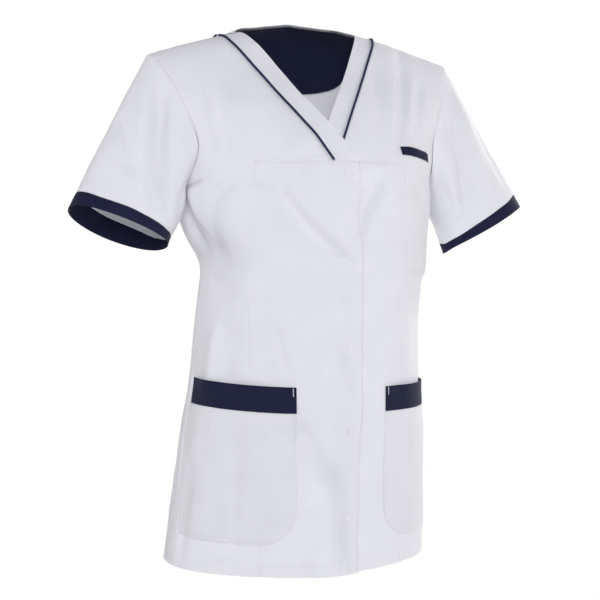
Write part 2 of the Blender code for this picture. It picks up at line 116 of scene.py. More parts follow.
# A row per level of the body, in mm: heights at the centre front, centre back and side, sideways shift, half
# width, depth of the centre front, centre back and side in front and behind, turn to the side in degrees, and
# squareness in thousandths.
BODY_COLUMNS = (
    "level", "z_front", "z_back", "z_side", "shift", "half_width", "front", "back", "side_front", "side_back",
    "turn_front", "turn_back", "square",
)
BODY_ROWS = (
    (-705, -707, -700, -695, -22, 177, -134, 122, -38, -38, 90, 90, 30),
    (-625, -625, -625, -623, -13, 173, -138, 115, -20, -20, 90, 90, 25),
    (-530, -530, -530, -530, -4, 166, -141, 106, -8, -8, 90, 90, 20),
    (-470, -470, -470, -470, 1, 158, -143, 98, 0, 0, 90, 90, 15),
    (-355, -355, -355, -355, 9, 153, -145, 83, 3, 3, 90, 90, 10),
    (-310, -310, -310, -310, 15, 154, -145, 83, 2, 2, 90, 90, 10),
    (-265, -265, -265, -265, 4, 168, -144, 92, 0, 0, 90, 90, 10),
    (-215, -215, -215, -215, 0, 176, -142, 102, 0, 0, 90, 90, 10),
    (-195, -195, -195, -195, 0, 173, -138, 105, -40, 36, 76, 76, 0),
    (-155, -155, -155, -157, 0, 168, -125, 108, -60, 48, 66, 66, 0),
    (-110, -108, -108, -112, 0, 181, -101, 106, -54, 52, 55, 55, 0),
    (-50, -48, -45, -70, 0, 197, -60, 88, -36, 36, 48, 48, 0),
    (-16, -3, 0, -44, 0, 209, -30, 54, -17, 18, 42, 42, 0),
    (-5, 11, 11, -38, 0, 213, -13, 20, -8, 8, 40, 40, 0),
    (0, 14, 14, -36, 0, 214, -0.4, 0.4, -0.4, 0.4, 40, 40, 0),
)

# Where each edge runs on the front, as x at a level.
RIGHT_PIPING = (
    (-0.177, -0.014), (-0.140, -0.036), (-0.095, -0.064), (-0.045, -0.091), (-0.015, -0.110), (0.000, -0.119),
)
RIGHT_NECK = (
    (-0.177, 0.023), (-0.140, -0.003), (-0.095, -0.036), (-0.045, -0.061), (-0.015, -0.082), (0.000, -0.093),
)
LEFT_PIPING = ((-0.177, -0.011), (-0.155, 0.001), (-0.110, 0.029), (-0.050, 0.068), (0.000, 0.105))
LEFT_NECK = ((-0.177, -0.037), (-0.128, -0.011), (-0.085, 0.017), (-0.040, 0.048), (0.000, 0.079))
RIGHT_BUST_SEAM = ((-0.705, -0.112), (-0.480, -0.112), (-0.340, -0.111), (-0.177, -0.112))
LEFT_BUST_SEAM = ((-0.705, 0.089), (-0.480, 0.092), (-0.340, 0.090), (-0.177, 0.088))

# The fronts by their side: name, whether it is the upper one, and its piping, neck and bust seam.
FRONTS = {
    -1: ("right", True, RIGHT_PIPING, RIGHT_NECK, RIGHT_BUST_SEAM),
    1: ("left", False, LEFT_PIPING, LEFT_NECK, LEFT_BUST_SEAM),
}

# The pockets: lowest and highest level, x of the edge nearest the middle, how far round the body the other edge
# is at the bottom and top, band height, corner radius, rise of the other edge, gap to the front and side.
POCKETS = (
    ("right_pocket", -0.667, -0.496, -0.065, -0.930, -0.965, 0.033, 0.045, 0.007, 0.0014, -1),
    ("left_pocket", -0.669, -0.498, 0.060, 0.985, 0.985, 0.032, 0.045, 0.000, 0.0010, 1),
    ("chest_pocket", -0.318, -0.164, 0.097, 0.780, 0.800, 0.011, 0.004, -0.009, 0.0014, 1),
)

# The creases, in mm: x and z of both ends on a flat panel, sideways bow, width to the left and to the right of the
# line, so that one side can be steep and the other soft, and depth. The depth is inwards, a ridge is negative.
FRONT_CREASES = np.array((
    (-96, -180, -14, -307, 2, 38, 9, 13),
    (-22, -292, -3, -312, 0, 10, 7, 4.2),
    (-134, -190, -188, -300, 6, 20, 16, 5),
    (-116, -184, -128, -450, 16, 30, 14, -6),
    (-200, -198, -178, -278, 4, 9, 26, -5.2),
    (-219, -205, -204, -290, 2, 12, 8, 5.2),
    (-226, -240, -186, -268, -3, 6, 9, 1.8),
    (-215, -322, -150, -345, 3, 7, 10, 2),
    (-190, -352, -128, -362, -2, 6, 9, 1.2),
    (-103, -378, -74, -462, 2, 17, 8, 6.8),
    (-186, -380, -192, -470, 0, 18, 12, -5),
    (-150, -392, -160, -470, 2, 16, 14, 3.4),
    (-64, -503, -4, -600, -2, 19, 9, 11.8),
    (-10, -575, 12, -690, 0, 24, 10, 8),
    (-143, -490, -120, -700, -3, 26, 17, 11.2),
    (-112, -504, -71, -528, 1, 7, 6, 2.4),
    (-84, -520, -62, -545, 0, 6, 5, 1.6),
    (-98, -606, -66, -655, 3, 10, 7, 3),
    (-112, -640, -80, -668, 1, 7, 6, 1.6),
    (-205, -560, -212, -700, 2, 14, 18, 4),
    (-186, -500, -176, -560, 2, 10, 8, 1.8),
    (58, -198, 14, -274, 7, 18, 7, 9.8),
    (100, -198, 158, -300, -6, 10, 16, 2.6),
    (24, -290, 30, -480, 0, 10, 26, 3.6),
    (30, -515, 43, -704, 2, 9, 24, 6.8),
    (146, -20, 106, -160, -8, 9, 11, 8.5),
    (180, -50, 160, -150, 2, 8, 11, 4.4),
    (94, -35, 80, -145, 2, 12, 16, 3.6),
    (124, -320, 132, -455, -3, 16, 22, 3),
    (205, -318, 150, -340, -3, 10, 7, 2.2),
    (190, -550, 206, -702, 3, 14, 22, 5),
    (98, -610, 104, -700, 1, 12, 16, 2.4),
    (-84, -168, -34, -146, -3, 12, 16, -2),
    (-130, -20, -168, -120, 3, 12, 16, 2.2),
    (-186, -70, -196, -168, 3, 12, 10, 3.2),
    (-22, -405, 4, -478, 2, 14, 9, 3),
    (-20, -345, -8, -382, 1, 10, 10, 1.6),
    (78, -420, 86, -500, 2, 12, 15, 2),
)) / 1000
BACK_CREASES = np.array((
    (-52, -295, -98, -425, 5, 14, 22, 5),
    (58, -305, 90, -440, -5, 22, 14, 4.6),
    (-176, -236, -100, -335, 6, 14, 20, 5.6),
    (178, -240, 108, -325, -5, 20, 13, 5.2),
    (-128, -55, -158, -175, 4, 11, 16, 4.8),
    (132, -62, 153, -168, -3, 17, 11, 4.4),
    (-178, -75, -190, -160, 2, 9, 12, 3),
    (176, -80, 192, -165, 2, 12, 10, 3.4),
    (-116, -505, -137, -704, 3, 18, 26, 5.6),
    (18, -530, 9, -704, -3, 16, 24, 4.4),
    (137, -520, 152, -704, 3, 26, 18, 5.4),
    (-200, -324, -120, -348, 3, 8, 10, 2.6),
    (196, -330, 128, -350, -3, 10, 8, 2.4),
    (-40, -340, 34, -352, 3, 9, 12, 2.2),
    (-30, -375, 44, -380, -2, 8, 10, 1.6),
    (60, -90, 30, -200, 3, 20, 26, 2.2),
    (-66, -80, -42, -190, -2, 24, 20, 2),
    (-62, -560, -70, -700, 2, 16, 20, -3),
    (80, -560, 86, -704, -2, 18, 16, -3),
)) / 1000

# The sleeves' creases: how far round from the top of the arm over the front, in thousandths of a turn, and how far
# down, in thousandths of the length. Left is the width towards the underarm, and the depth is in mm.
RIGHT_SLEEVE_CREASES = np.array((
    (152, 60, 330, 800, 0, 30, 85, 15),
    (90, 100, 188, 560, 0, 30, 40, -5.2),
    (50, 400, 172, 700, 10, 50, 26, 5.8),
    (110, 660, 140, 980, 0, 50, 40, 3),
    (230, 620, 246, 980, 0, 30, 35, -2.6),
    (405, 80, 350, 660, 10, 35, 45, 5),
    (520, 100, 560, 600, 0, 40, 30, 4),
    (720, 50, 675, 840, 10, 30, 55, 6.2),
    (884, 220, 846, 920, -10, 45, 30, 4),
    (790, 400, 780, 950, 0, 40, 40, -2.6),
)) / 1000
LEFT_SLEEVE_CREASES = np.array((
    (215, 100, 340, 680, 0, 50, 24, 9.8),
    (120, 120, 196, 600, 0, 40, 40, -3.2),
    (70, 340, 110, 900, 10, 35, 50, 3.6),
    (190, 660, 214, 980, 0, 35, 30, 2.4),
    (410, 100, 384, 700, 10, 40, 40, 4.4),
    (560, 120, 540, 640, 0, 36, 30, 4),
    (700, 60, 662, 800, -10, 50, 30, 5.8),
    (870, 260, 838, 940, 10, 30, 45, 4),
)) / 1000

# The opening of each cuff: its middle, half of its long side and half of its short side.
RIGHT_CUFF = ((-0.2665, -0.030, -0.2595), (-0.0630, 0.004, 0.0250), (0.0, 0.041, -0.015))
LEFT_CUFF = ((0.2640, -0.030, -0.2640), (0.0585, 0.004, 0.0300), (0.0, 0.040, -0.013))

# The sleeves by their side: name, cuff, creases, how far the underside bows out and how near the middle.
SLEEVES = {
    -1: ("right", RIGHT_CUFF, RIGHT_SLEEVE_CREASES, -0.008, 2), 1: ("left", LEFT_CUFF, LEFT_SLEEVE_CREASES, 0.010, 1),
}
SLEEVE_LENGTH = 0.26
SLEEVE_GIRTH = 0.36
SLEEVE_FINER = 6


def spread(first, last, count):
    return np.linspace(first, last, count)


# The levels of the armhole's points, from the underarm up.
ARMHOLE_LEVELS = np.concatenate([
    spread(UNDERARM_LEVEL, BUST_LEVEL, 4), spread(BUST_LEVEL, -0.030, 8)[1:], (-0.016, -0.006, 0.0),
])
SLEEVE_POINTS = SLEEVE_FINER * 2 * (len(ARMHOLE_LEVELS) - 1)


def smooth(share):
    share = np.clip(share, 0, 1)
    return share * share * (3 - 2 * share)


def groove(distance, depth, width):
    """A rounded groove along a line, by the distance from it."""
    return depth * np.exp(-((distance / width) ** 2))


def unit(vectors):
    return vectors / np.linalg.norm(vectors, axis=-1, keepdims=True)


def hermite(knots, values, at):
    """A smooth curve through the values, flat where they turn back."""
    knots = np.asarray(knots, float)
    values = np.asarray(values, float)
    at = np.clip(np.asarray(at, float), knots[0], knots[-1])
    steps = np.diff(knots)
    rises = np.diff(values) / steps
    slopes = np.zeros(len(knots))
    slopes[0] = rises[0]
    slopes[-1] = rises[-1]
    for k in range(1, len(knots) - 1):
        if rises[k - 1] * rises[k] > 0:
            before = 2 * steps[k] + steps[k - 1]
            after = steps[k] + 2 * steps[k - 1]
            slopes[k] = (before + after) / (before / rises[k - 1] + after / rises[k])
    place = np.clip(np.searchsorted(knots, at, side="right") - 1, 0, len(steps) - 1)
    step = steps[place]
    t = (at - knots[place]) / step
    return (
        values[place] * (1 + 2 * t) * (1 - t) ** 2
        + slopes[place] * step * t * (1 - t) ** 2
        + values[place + 1] * t**2 * (3 - 2 * t)
        + slopes[place + 1] * step * t**2 * (t - 1)
    )


TABLE_LEVELS = spread(HEM_LEVEL, 0.0, 2821)


def level_tables():
    """Each column of the body's rows at close levels, its bends softened between the underarm and the hem."""
    levels = [row[0] / 1000 for row in BODY_ROWS]
    reach = 0.013 * smooth((UNDERARM_LEVEL - TABLE_LEVELS) / 0.03) * smooth((TABLE_LEVELS - HEM_LEVEL) / 0.06)
    tables = {}
    for column, name in enumerate(BODY_COLUMNS):
        unit = math.radians(1) if name.startswith("turn") else 0.001
        values = [row[column] * unit for row in BODY_ROWS]
        parts = [hermite(levels, values, TABLE_LEVELS + share * reach) for share in spread(-1, 1, 7)]
        tables[name] = np.mean(parts, axis=0)
    return tables


TABLES = level_tables()


def body_row(name, level):
    return np.interp(level, TABLE_LEVELS, TABLES[name])


def edge_x(edge, level):
    return hermite(*zip(*edge), level)


def body_surface(face, around, level):
    """A point of the plain body. face is -1 in front and 1 behind, around runs from side to side, -1 to 1."""
    part = "front" if face < 0 else "back"
    turn = body_row("turn_" + part, level)
    angle = around * turn
    across = np.sin(angle) / np.sin(turn)
    bow = (np.cos(angle) - np.cos(turn)) / (1 - np.cos(turn))
    wide = 1 + body_row("square", level) * np.sin(2 * angle) ** 2
    side = body_row("side_" + part, level)
    x = body_row("shift", level) + body_row("half_width", level) * across * wide
    y = side + (body_row(part, level) - side) * bow * wide
    middle = body_row("z_" + part, level)
    z = middle + (body_row("z_side", level) - middle) * np.abs(across) ** 1.3
    if face > 0:
        down = np.maximum(-level, 0) / 0.01
        z = z + NECK_RISE * down * np.exp(1 - down) * smooth((BAND_HALF - np.abs(x - NECK_SHIFT)) / 0.045)
    return np.stack([x, y, z], axis=-1)


def around_at(face, x, level):
    """How far round the body a given x lies at a level."""
    low = np.full(np.shape(x), -1.0)
    high = np.full(np.shape(x), 1.0)
    for _ in range(40):
        middle = (low + high) / 2
        less = body_surface(face, middle, level)[..., 0] < x
        low = np.where(less, middle, low)
        high = np.where(less, high, middle)
    return (low + high) / 2


def crease_depth(creases, x, z):
    """How far the creases push the cloth inwards at a point of the flat panel."""
    depth = np.zeros(np.shape(x))
    for x0, z0, x1, z1, bow, left, right, deep in creases:
        run = math.hypot(x1 - x0, z1 - z0)
        along = ((x - x0) * (x1 - x0) + (z - z0) * (z1 - z0)) / run**2
        aside = ((x - x0) * (z1 - z0) - (z - z0) * (x1 - x0)) / run
        aside = aside - 4 * bow * np.clip(along, 0, 1) * (1 - np.clip(along, 0, 1))
        width = np.where(aside < 0, right, left)
        ends = smooth(np.minimum(along + 0.15, 1.15 - along) / 0.4)
        depth += groove(aside, deep, width) * ends
    return depth


def uneven(x, z):
    """The slight hollows and rises that pressed cloth keeps between its creases."""
    broad = np.sin(41 * x + 23 * z) * np.sin(37 * z - 19 * x + 0.6)
    fine = np.sin(103 * x + 61 * z + 2.0) * np.sin(89 * z - 71 * x + 1.0)
    return 0.0006 * broad + 0.00025 * fine


def pucker(distance, run, size=0.00030, pitch=0.0095):
    """Small waves that sewing draws up along a seam, uneven and gone a little way from it."""
    wave = np.sin(2 * math.pi * (run + 0.0022 * np.sin(run * 190)) / pitch) * (1 + 0.6 * np.sin(run * 57 + 1))
    return wave * groove(distance, size, 0.0065)


def body_normal(face, around, level):
    step = 1e-4
    low = np.clip(level - step, HEM_LEVEL, -2 * step)
    across = body_surface(face, around + step, level) - body_surface(face, around - step, level)
    upward = body_surface(face, around, low + 2 * step) - body_surface(face, around, low)
    return unit(-face * np.cross(across, upward))


def body_cloth(face, around, level, out=0.0):
    """A point of the creased cloth, moved out by a distance along the body's normal."""
    around, level = np.broadcast_arrays(np.asarray(around, float), np.asarray(level, float))
    creases = FRONT_CREASES if face < 0 else BACK_CREASES
    x = around * GIRTH_QUARTER
    distance = np.asarray(out - crease_depth(creases, x, level) - uneven(x + 0.7 * face, level))[..., None]
    return body_surface(face, around, level) + body_normal(face, around, level) * distance


def lap_lift(x):
    """How far the upper front and its band stand off where they lap over the lower one."""
    return (CAD_WALL + LAP_SPACE) * smooth((x + 0.062) / 0.035)


def front_out(right, around, level):
    """Where the inner face of the right or left front lies above the plain body."""
    return lap_lift(body_surface(-1, around, level)[..., 0]) if right else np.zeros(np.shape(around))


def front_cloth(right, around, level, out=0.0):
    around, level = np.broadcast_arrays(np.asarray(around, float), np.asarray(level, float))
    return body_cloth(-1, around, level, front_out(right, around, level) + out)


def blend(first, last, shares):
    """Rows of values running from one edge to another, a row for each pair of ends."""
    return first[:, None] + (last - first)[:, None] * np.asarray(shares)[None, :]


def shares_for(length, spacing, start=(), end=()):
    """Shares along a length: even steps, with extra ones at given distances from its start and its end."""
    low = [mark for mark in start if mark < length / 2]
    high = [length - mark for mark in end if mark < length / 2]
    first = max(low, default=0.0)
    last = min(high, default=length)
    even = spread(first, last, max(2, int(round((last - first) / spacing)) + 1))
    marks = np.concatenate([[0.0], low, even, high, [length]])
    return np.unique(np.round(marks, 7)) / length


# Distances from an edge of extra rows or columns of points, also across the hem, the placket's fold and a stud.
EDGE_MARKS = (0.0007, 0.0016, 0.0026, 0.0040, 0.0057, 0.0070, 0.0083, 0.0104)
HEM_MARKS = EDGE_MARKS + (0.0125, 0.0140, 0.0150, 0.0160, 0.0175)
PLACKET_MARKS = (0.0385, 0.0393, 0.0400, 0.0407, 0.0415, 0.0424, 0.0434, 0.0446)
STUD_MARKS = spread(-0.0068, 0.0068, 15)
BAND_SHARES = shares_for(0.022, 0.0018, EDGE_MARKS[:4], EDGE_MARKS[:4])


def sheet_mesh(name, outer, inner, flat, keep=None, joined=False):
    """A cloth wall between two grids of points, with rounded edges. flat holds the cut's coordinates."""
    rows, columns = outer.shape[:2]
    ids = np.arange(rows * columns).reshape(rows, columns)
    if joined:
        ids = np.hstack([ids, ids[:, :1]])
    width = ids.shape[1] - 1
    cells = np.ones((rows - 1, width), bool) if keep is None else keep
    points = np.concatenate([outer.reshape(-1, 3), inner.reshape(-1, 3)])
    count = rows * columns
    i, j = np.nonzero(cells)
    steps = ((0, 0), (0, 1), (1, 1), (1, 0))
    corners = np.stack([ids[i + di, j + dj] for di, dj in steps], axis=1)
    places = np.stack([flat[i + di, j + dj] for di, dj in steps], axis=1)
    faces = [corners, corners[:, ::-1] + count]
    cuts = [places, places[:, ::-1]]
    middle = outer.reshape(-1, 3)[corners].mean(axis=1)
    leaving = np.zeros((count, 3))
    edges = []
    for k, (di, dj) in enumerate(((-1, 0), (0, 1), (1, 0), (0, -1))):
        ni, nj = i + di, j + dj
        if joined:
            nj = nj % width
        inside = (ni >= 0) & (ni < rows - 1) & (nj >= 0) & (nj < width)
        inside[inside] = cells[ni[inside], nj[inside]]
        bare = ~inside
        a, b = corners[bare, k], corners[bare, (k + 1) % 4]
        run = points[b] - points[a]
        away = (points[a] + points[b]) / 2 - middle[bare]
        away -= run * ((away * run).sum(1) / (run * run).sum(1))[:, None]
        away = unit(away)
        np.add.at(leaving, a, away)
        np.add.at(leaving, b, away)
        edges.append((a, b, places[bare, k], places[bare, (k + 1) % 4]))
    rim = np.unique(np.concatenate([np.concatenate(edge[:2]) for edge in edges]))
    rim_of = np.full(count, -1)
    rim_of[rim] = np.arange(len(rim)) + 2 * count
    thick = np.linalg.norm(points[rim] - points[rim + count], axis=1)[:, None]
    away = leaving[rim] / np.maximum(np.linalg.norm(leaving[rim], axis=1), 1e-9)[:, None]
    points = np.concatenate([points, (points[rim] + points[rim + count]) / 2 + away * thick * 0.4])
    for a, b, place_a, place_b in edges:
        faces.append(np.stack([b, a, rim_of[a], rim_of[b]], axis=1))
        faces.append(np.stack([rim_of[b], rim_of[a], a + count, b + count], axis=1))
        cuts += [np.stack([place_b, place_a, place_a, place_b], axis=1)] * 2
    faces = np.concatenate(faces)
    cuts = np.concatenate(cuts)
    used, faces = np.unique(faces, return_inverse=True)
    points = points[used]
    faces = faces.reshape(-1, 4)
    first, second, third, fourth = (points[faces[:, k]] for k in range(4))
    across = third - first
    if (first * (np.cross(second - first, across) + np.cross(across, fourth - first))).sum() < 0:
        faces = faces[:, ::-1]
        cuts = cuts[:, ::-1]
    return mesh_object(name, points, faces, cuts)


def mesh_object(name, points, faces, cuts=None):
    mesh = bpy.data.meshes.new(name)
    mesh.from_pydata(points.tolist(), [], faces.tolist() if isinstance(faces, np.ndarray) else faces)
    mesh.shade_smooth()
    if cuts is not None:
        layer = mesh.uv_layers.new(name="cloth")
        layer.data.foreach_set("uv", np.ascontiguousarray(cuts, np.float32).ravel())
    obj = bpy.data.objects.new(name, mesh)
    bpy.context.scene.collection.objects.link(obj)
    return obj


def thickness():
    return bpy.context.scene.tunic_cloth.thickness


def finish_sheet(solid, outer, inner, flat, slot, keep=None, joined=False):
    """Makes the sheet over a solid, gives it its material, keeps its cut as its UV map and joins it to its body."""
    piece = sheet_mesh(solid + "_cloth", outer, inner, flat, keep, joined)
    piece.data.materials.append(twill(slot))
    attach(piece, "root")
    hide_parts(solid)


def seam_relief(distance, rows=(), dip=0.0008):
    """How far the cloth lies in near a sewn edge and along the rows of stitching beside it."""
    return groove(distance, dip, 0.0016) + sum(groove(distance - row, 0.0004, 0.0011) for row in rows)


def hem_relief(level, run):
    """How far the cloth lies in at the hem's row of stitching, with the waves beside it."""
    return seam_relief(level - HEM_LEVEL, (HEM_ROW,), dip=0) + pucker(level - HEM_LEVEL - 0.01, run)


def linear(hex_colour):
    """An sRGB hex colour as linear red, green, blue and alpha."""
    parts = [int(hex_colour[k : k + 2], 16) / 255 for k in (1, 3, 5)]
    return tuple(c / 12.92 if c <= 0.04045 else ((c + 0.055) / 1.055) ** 2.4 for c in parts) + (1.0,)


def add_node(tree, kind, inputs=None, **settings):
    """Adds a node, sets its settings and fills its inputs with values or with other nodes' outputs."""
    made = tree.nodes.new(kind)
    for key, value in settings.items():
        setattr(made, key, value)
    for key, value in (inputs or {}).items():
        if isinstance(value, bpy.types.NodeSocket):
            tree.links.new(value, made.inputs[key])
        else:
            made.inputs[key].default_value = value
    return made


def new_material(name, settings):
    """A material with its shader set, and no tree if it is there already."""
    made = bpy.data.materials.get(name)
    if made:
        return made, None, None
    made = bpy.data.materials.new(name)
    made.use_nodes = True
    shader = made.node_tree.nodes["Principled BSDF"]
    for key, value in settings.items():
        shader.inputs[key].default_value = value
    return made, made.node_tree, shader


def add_bump(tree, shader, height, strength, distance):
    """Raises the surface by a height, without moving points."""
    bump = add_node(tree, "ShaderNodeBump", {"Height": height, "Strength": strength, "Distance": distance})
    tree.links.new(bump.outputs["Normal"], shader.inputs["Normal"])


def wave_scale(pitch):
    """The scale at which a wave texture repeats at a pitch in metres."""
    return math.pi / (10 * pitch)


# Each slot's colour, sheen, roughness and the share of light that goes into the cloth.
TWILLS = {"white_twill": ("white", 0.15, 0.78, 0.6), "navy_twill": ("navy", 0.06, 0.80, 0.0)}


def twill(slot):
    """Poly-cotton twill, woven: fine slanted ribs, a soft sheen at grazing angles and a slightly uneven dye."""
    colour, sheen, roughness, through = TWILLS[slot]
    made, tree, shader = new_material(
        colour + "_poly_cotton_twill",
        {"Roughness": roughness, "IOR": 1.46, "Specular IOR Level": 0.35, "Sheen Weight": sheen,
         "Sheen Roughness": 0.45, "Subsurface Weight": through, "Subsurface Radius": (1, 1, 1),
         "Subsurface Scale": 0.0016},
    )
    if not tree:
        return made
    place = add_node(tree, "ShaderNodeUVMap", uv_map="cloth").outputs["UV"]
    # Real ribs are 0.5 mm apart. They are drawn 1.1 mm apart, as fine as a close view can show.
    slant = add_node(tree, "ShaderNodeMapping", {"Vector": place, "Rotation": (0, 0, math.radians(38))})
    rib = add_node(
        tree, "ShaderNodeTexWave",
        {"Vector": slant.outputs["Vector"], "Scale": wave_scale(0.0011), "Distortion": 0.6, "Detail": 1,
         "Detail Scale": 2},
    )
    yarn = add_node(
        tree, "ShaderNodeTexWave", {"Vector": place, "Scale": wave_scale(0.0009), "Distortion": 0.8},
        bands_direction="Y",
    )
    slub = add_node(tree, "ShaderNodeTexNoise", {"Vector": place, "Scale": 260, "Detail": 3})
    weave = add_node(
        tree, "ShaderNodeMath", {0: rib.outputs["Fac"], 1: yarn.outputs["Fac"]}, operation="MULTIPLY"
    )
    height = add_node(tree, "ShaderNodeMath", {0: weave.outputs[0], 1: slub.outputs["Fac"]})
    dye = add_node(tree, "ShaderNodeTexNoise", {"Vector": place, "Scale": 22, "Detail": 4})
    tone = add_node(
        tree, "ShaderNodeMapRange",
        {"Value": dye.outputs["Fac"], "From Min": 0.3, "From Max": 0.7, "To Min": 0.965},
    )
    # Painted shade: the colour is up to 4.5 % darker where the weave lies low, between the ribs and the yarns. The
    # dye's uneven tone is mixed in with it.
    thread = add_node(tree, "ShaderNodeMapRange", {"Value": weave.outputs[0], "To Min": 0.955})
    dye_and_painted_shade = add_node(
        tree, "ShaderNodeMath", {0: tone.outputs["Result"], 1: thread.outputs["Result"]}, operation="MULTIPLY"
    )
    dyed = linear(getattr(bpy.context.scene.tunic_cloth, colour))
    tint = add_node(tree, "ShaderNodeMix", {0: dye_and_painted_shade.outputs[0], 6: (0, 0, 0, 1), 7: dyed}, data_type="RGBA")
    tree.links.new(tint.outputs[2], shader.inputs["Base Color"])
    add_bump(tree, shader, height.outputs[0], 0.35, 0.00012)
    return made


def thread_material(name, colour):
    """Spun polyester sewing thread: a fine twist with a slight gloss."""
    made, tree, shader = new_material(name, {"Base Color": linear(colour), "Roughness": 0.5})
    if not tree:
        return made
    place = add_node(tree, "ShaderNodeTexCoord").outputs["Object"]
    # Real thread turns every 0.4 mm, which is drawn as it is.
    twist = add_node(
        tree, "ShaderNodeTexWave", {"Vector": place, "Scale": wave_scale(0.0004), "Distortion": 1.5},
        bands_direction="DIAGONAL",
    )
    add_bump(tree, shader, twist.outputs["Fac"], 0.3, 0.00005)
    return made


def sew(name, runs, finish, length=0.0026, pitch=0.0034, width=0.0005, turned=False):
    """Rows of stitches along runs of points with their normals. Turned ones lie across, as in a bar tack."""
    ring = ((1, 0), (0, 1), (-1, 0), (0, -1))
    ends = [(share, *corner) for share in (-0.32, 0.32) for corner in ring]
    shape = np.array([(-0.5, 0, 0), *ends, (0.5, 0, 0)])
    pattern = [(0, k, k % 4 + 1) for k in range(1, 5)]
    pattern += [(k, k + 4, (k % 4) + 5, k % 4 + 1) for k in range(1, 5)]
    pattern += [(9, (k % 4) + 5, k + 4) for k in range(1, 5)]
    points = []
    for path, normals in runs:
        steps = np.concatenate([[0], np.cumsum(np.linalg.norm(np.diff(path, axis=0), axis=1))])
        stops = np.arange(pitch / 2, steps[-1] - pitch / 4, pitch)
        place, ahead, behind, normal = (
            np.stack([np.interp(stops + on, steps, values[:, k]) for k in range(3)], axis=1)
            for on, values in ((0, path), (0.0005, path), (-0.0005, path), (0, normals))
        )
        run = unit(ahead - behind)
        side = unit(np.cross(run, normal))
        normal = np.cross(side, run)
        if turned:
            run, side = side, -run
        axes = np.stack([run * length, side * width / 2, normal * width * 0.4], axis=1)
        points.append((place[:, None] + shape @ axes).reshape(-1, 3))
    points = np.concatenate(points)
    faces = [tuple(v + first for v in face) for first in range(0, len(points), len(shape)) for face in pattern]
    piece = mesh_object(name, points, faces)
    piece.data.materials.append(finish)
    recalculate(piece)
    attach(piece, "root")


def recalculate(piece):
    """Turns the faces of each closed part of a mesh outwards."""
    mesh = bmesh.new()
    mesh.from_mesh(piece.data)
    bmesh.ops.recalc_face_normals(mesh, faces=mesh.faces)
    mesh.to_mesh(piece.data)
    mesh.free()


def along_rows(grid):
    """How far each point of a grid lies along its row from the first point."""
    steps = np.linalg.norm(np.diff(grid, axis=1), axis=2)
    return np.hstack([np.zeros((grid.shape[0], 1)), np.cumsum(steps, axis=1)])


def cut_places(around, level):
    return np.stack([around * GIRTH_QUARTER, level], axis=-1)


def front_rows():
    below = BUST_LEVEL - HEM_LEVEL
    low = HEM_LEVEL + below * shares_for(below, 0.0032, HEM_MARKS, EDGE_MARKS)
    high = BUST_LEVEL - BUST_LEVEL * shares_for(-BUST_LEVEL, 0.0032, EDGE_MARKS, EDGE_MARKS)
    return low, high


def body_sheet(solid, cloth, around, level, relief, slot="white_twill", out=CAD_WALL, keep=None):
    """A sheet over the body, its outer face at a distance from it less the relief."""
    outer, inner = (cloth(around, level, out - relief - depth) for depth in (0, thickness()))
    finish_sheet(solid, outer, inner, cut_places(around, level), slot, keep=keep)


def front_side(side):
    name, right, piping, _, seam = FRONTS[side]
    cloth = partial(front_cloth, right)
    low, high = front_rows()
    levels = np.concatenate([low, high[1:]])
    end_x = edge_x(piping, np.maximum(levels, BUST_LEVEL)) + side * SEAM_GAP * 1.5
    upward = np.clip((levels - BUST_LEVEL) / -BUST_LEVEL, 0, 1)
    seam_x = edge_x(seam, np.minimum(levels, BUST_LEVEL))
    seam_x = seam_x + (end_x + side * 0.045 - seam_x) * upward
    seam_around = around_at(-1, seam_x, levels)
    outside = np.full(len(levels), side * SIDE_END)
    side_part = blend(outside, seam_around, shares_for(0.16, 0.0034, EDGE_MARKS, EDGE_MARKS))
    upper_part = blend(seam_around, around_at(-1, end_x, levels), shares_for(0.09, 0.0034, (), EDGE_MARKS)[1:])
    around = np.hstack([side_part, upper_part])
    level = np.broadcast_to(levels[:, None], around.shape)
    keep = np.ones((len(levels) - 1, around.shape[1] - 1), bool)
    inner = side_part.shape[1] - 1
    keep[: len(low) - 1, inner:] = False
    run = along_rows(cloth(around, level))
    above = level >= BUST_LEVEL
    under = above * (run >= run[:, inner : inner + 1])
    relief = seam_relief(run, dip=SOFT_DIP) + seam_relief(run[:, -1:] - run, (SEAM_ROW,)) * above
    relief += seam_relief(np.abs(run - run[:, inner : inner + 1]), dip=0.00015) * ~above
    relief += seam_relief(level - BUST_LEVEL, BUST_ROWS, dip=SOFT_DIP) * under
    relief += seam_relief(-level, (SEAM_ROW,)) * (level > -0.03) + hem_relief(level, run)
    relief += pucker(run, level) * (level > UNDERARM_LEVEL) + pucker(level - BUST_LEVEL - 0.004, run) * under
    relief += pucker(run, level, 0.0002, 0.014) * (level <= UNDERARM_LEVEL)
    body_sheet(name + "_front_side", cloth, around, level, relief, keep=keep)


def stud_marks(x, level):
    """The round print that each press stud leaves in the cloth over it."""
    depth = np.zeros(np.shape(x))
    for stud_level in STUD_LEVELS:
        distance = np.hypot(x - STUD_X, level - stud_level)
        depth += groove(distance - 0.0056, 0.0006, 0.0011) - 0.00045 * smooth((0.0054 - distance) / 0.0016)
        depth += 0.0002 * smooth((0.0024 - distance) / 0.0012)
    return depth


